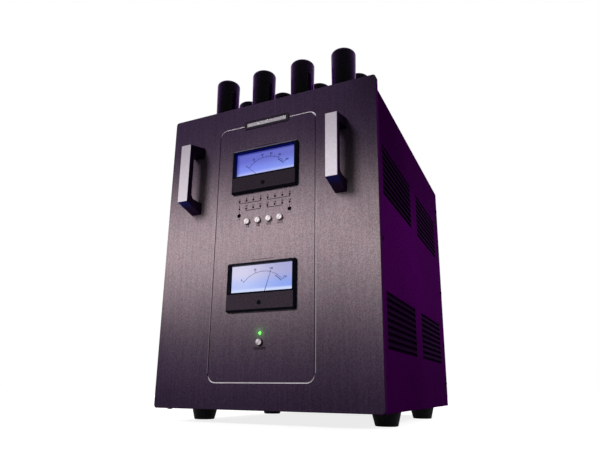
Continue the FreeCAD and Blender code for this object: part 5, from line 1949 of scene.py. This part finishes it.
    def make_cage(self) -> bpy.types.Object:
        """The plates with their fins and ribs, the posts, the stem and the getter on its holder.

        Returns:
            All of it as one piece.
        """
        low, high = self.cage_low + 1 * MM, self.cage_top - 1 * MM
        half, deep = self.cage_half, self.cage_deep
        pieces = [block("plates", (-half, -deep, low), (half, deep, high), edge=self.cage_corner, steps=5)]
        for side in (-1, 1):
            left, right = sorted((side * (half - 0.5 * MM), side * (half + self.fin_reach)))
            start = (left, -self.fin_half, low + 4 * MM)
            pieces.append(block("fin", start, (right, self.fin_half, high - 4 * MM)))
            front, rear = sorted((side * (deep - 0.3 * MM), side * (deep + 0.5 * MM)))
            for count in range(self.ribs):
                z = low + (high - low) * (count + 0.5) / self.ribs
                start = (-half * 0.6, front, z - self.rib_half)
                end = (half * 0.6, rear, z + self.rib_half)
                pieces.append(block("rib", start, end, edge=0.3 * MM, steps=1))
            span = (self.cage_low - 2 * MM, self.cage_top + 2 * MM)
            pieces.append(self.upright("post", self.post_radius, span, 10, x=side * (half - self.post_in)))
        span = (self.foot + 1 * MM, self.cage_low - 3 * MM)
        pieces.append(self.upright("stem", self.stem_radius, span, 24, edge=1.5 * MM))
        getter = self.cage_top + self.getter_up
        pieces.append(self.upright("holder", 0.5 * MM, (self.cage_top, getter), 8))
        pieces.append(turned("getter", arc((self.getter_radius, getter), self.getter_wire, 0, 360, 8), 24))
        return joined("tube_cage", pieces)

    def make_micas(self) -> bpy.types.Object:
        """The two spacers that hold the cage in the glass.

        Returns:
            Both as one piece.
        """
        sheets = []
        for top in (self.cage_low, self.cage_top):
            low = top - self.mica_thick
            sheets.append(turned("mica", [(0, low), (self.mica, low), (self.mica, top), (0, top)], 24, 20))
        return joined("tube_micas", sheets)

    def make_heater(self) -> bpy.types.Object:
        """The tips of the heaters, aglow above the upper spacer.

        Returns:
            Both as one piece.
        """
        span = (self.cage_top, self.cage_top + self.tip_tall)
        tips = []
        for x in (-self.tip_off, self.tip_off):
            tips.append(self.upright("tip", self.tip_radius, span, 10, x=x, edge=0.4 * MM))
        return joined("tube_heater", tips)

    def dress(self) -> None:
        """Model one tube, then set a copy of each piece into every place."""
        patterns = {
            "glass": (self.make_glass(), self.glass),
            "flash": (self.make_flash(), self.flash),
            "base": (self.make_base(), self.phenolic),
            "pins": (self.make_pins(), self.pin),
            "cage": (self.make_cage(), self.plate),
            "micas": (self.make_micas(), self.mica_sheet),
            "heater": (self.make_heater(), self.heater),
        }
        for count in range(16):
            node = f"output_tube_{count + 1:02d}"
            middle = middle_of(node)
            seat = Vector((middle.x, middle.y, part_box(node)[1].z - self.tall))
            for part, (pattern, finish) in patterns.items():
                fit(moved_copy(pattern, f"{node}_{part}", seat), finish, node, (node,))
        for pattern, _ in patterns.values():
            bpy.data.objects.remove(pattern)


# The studio

@dataclass
class Studio:
    """A plain white floor and surround, soft lights and the camera at the photograph's angle."""

    eye: tuple[float, float, float] = (0.3661, -0.8828, 0.05015)
    turn: float = 24.79
    lift: float = 14.79
    roll: float = 0.60
    lens: float = 30.24
    shift: Span = (-0.00667, 0.0342)
    around: float = 0.02             # how bright the surround is where it lights the object
    floor_glow: tuple[float, float, float, float] = (0.9, 3.0, 0.82, 1.0)
    aim: tuple[float, float, float] = (0, 0, 0.28)
    lamps: tuple = (
        # name, place, size and watts
        ("key_lamp", (-0.7, -2.25, 1.3), 0.75, 57.0),
        ("right_lamp", (2.4, 0.9, 1.3), 1.4, 62.0),
        ("left_lamp", (-2.4, 1.0, 1.3), 1.4, 45.0),
        ("rear_lamp", (0.5, 2.8, 1.4), 1.4, 60.0),
    )

    def camera(self) -> None:
        """Stand the camera where the photograph was taken from."""
        deselect()
        bpy.ops.object.camera_add(location=self.eye)
        camera = bpy.context.object
        turn, lift, roll = (math.radians(v) for v in (self.turn, self.lift, self.roll))
        ahead = Vector((-math.sin(turn) * math.cos(lift), math.cos(turn) * math.cos(lift), math.sin(lift)))
        right = Vector((math.cos(turn), math.sin(turn), 0))
        up = right.cross(ahead)
        across = right * math.cos(roll) + up * math.sin(roll)
        upright = up * math.cos(roll) - right * math.sin(roll)
        axes = Matrix((across, upright, -ahead)).transposed()
        camera.matrix_world = Matrix.Translation(self.eye) @ axes.to_4x4()
        camera.data.sensor_width = 36
        camera.data.lens = self.lens
        camera.data.shift_x, camera.data.shift_y = self.shift
        camera.data.clip_start = 0.01
        camera.data.clip_end = 60
        bpy.context.scene.camera = camera

    def seen(self, graph: Graph) -> Socket:
        """What the camera, a reflection or a pane shows, told apart from what lights a surface.

        Args:
            graph: The graph of the world or material.

        Returns:
            A mask that is 1 for what is shown, and 0 for what lights.
        """
        path = graph.add("LightPath").outputs
        shown = graph.maths("MAXIMUM", path["Is Camera Ray"], path["Is Glossy Ray"])
        return graph.maths("MAXIMUM", shown, path["Is Transmission Ray"])

    def surround(self) -> None:
        """White behind the object, and softer where it only lights it."""
        world = bpy.data.worlds.new("white_surround")
        bpy.context.scene.world = world
        graph = blank_graph(world)
        strength = graph.add("MapRange", {"Value": self.seen(graph), "To Min": self.around, "To Max": 1.0})
        white = graph.add("Background", {"Color": WHITE, "Strength": strength.outputs[0]})
        graph.add("OutputWorld", {"Surface": white.outputs[0]})

    def floor(self) -> None:
        """A pale floor that shows the object's soft shadow."""
        deselect()
        bpy.ops.mesh.primitive_plane_add(size=40, location=(0, 0, -0.3 * MM))
        floor = settle("studio_floor")
        material = bpy.data.materials.new("pale_floor")
        graph = blank_graph(material)
        away = graph.add("VectorMath", {0: graph.add("TexCoord").outputs["Object"]}, operation="LENGTH")
        glow = graph.spread(away.outputs["Value"], *self.floor_glow)
        paint = graph.add("BsdfPrincipled", {
            "Base Color": (0.35, 0.35, 0.35), "Roughness": 0.9, "Specular IOR Level": 0.0,
            "Emission Color": WHITE, "Emission Strength": graph.product(self.seen(graph), glow),
        })
        graph.add("OutputMaterial", {"Surface": paint.outputs[0]})
        floor.data.materials.append(material)

    def lamp(self, name: str, place: tuple, size: float, power: float) -> None:
        """Hang one soft lamp that faces the object.

        Args:
            name: What the lamp is called.
            place: Where it hangs.
            size: The side of its square.
            power: Its power in watts.
        """
        deselect()
        turn = (Vector(self.aim) - Vector(place)).to_track_quat("-Z", "Y").to_euler()
        bpy.ops.object.light_add(type="AREA", location=place, rotation=turn)
        lamp = bpy.context.object
        lamp.name = name
        lamp.data.size = size
        lamp.data.energy = power
        lamp.visible_camera = False
        lamp.visible_glossy = False
        lamp.visible_transmission = False

    def build(self) -> None:
        """Set up the floor, the light and the camera."""
        bpy.context.scene.view_settings.view_transform = "Standard"
        self.surround()
        self.floor()
        for lamp in self.lamps:
            self.lamp(*lamp)
        self.camera()


def main() -> None:
    """Build and finish every part in order, then the studio."""
    logging.basicConfig(level=logging.INFO, format="%(name)s: %(message)s")
    for parts in (FrontPanel, Nameplate, Handles, Meters, Controls, Case, RearFittings, Inside, OutputTube):
        parts().dress()
    Studio().build()


if __name__ == "__main__":
    main()
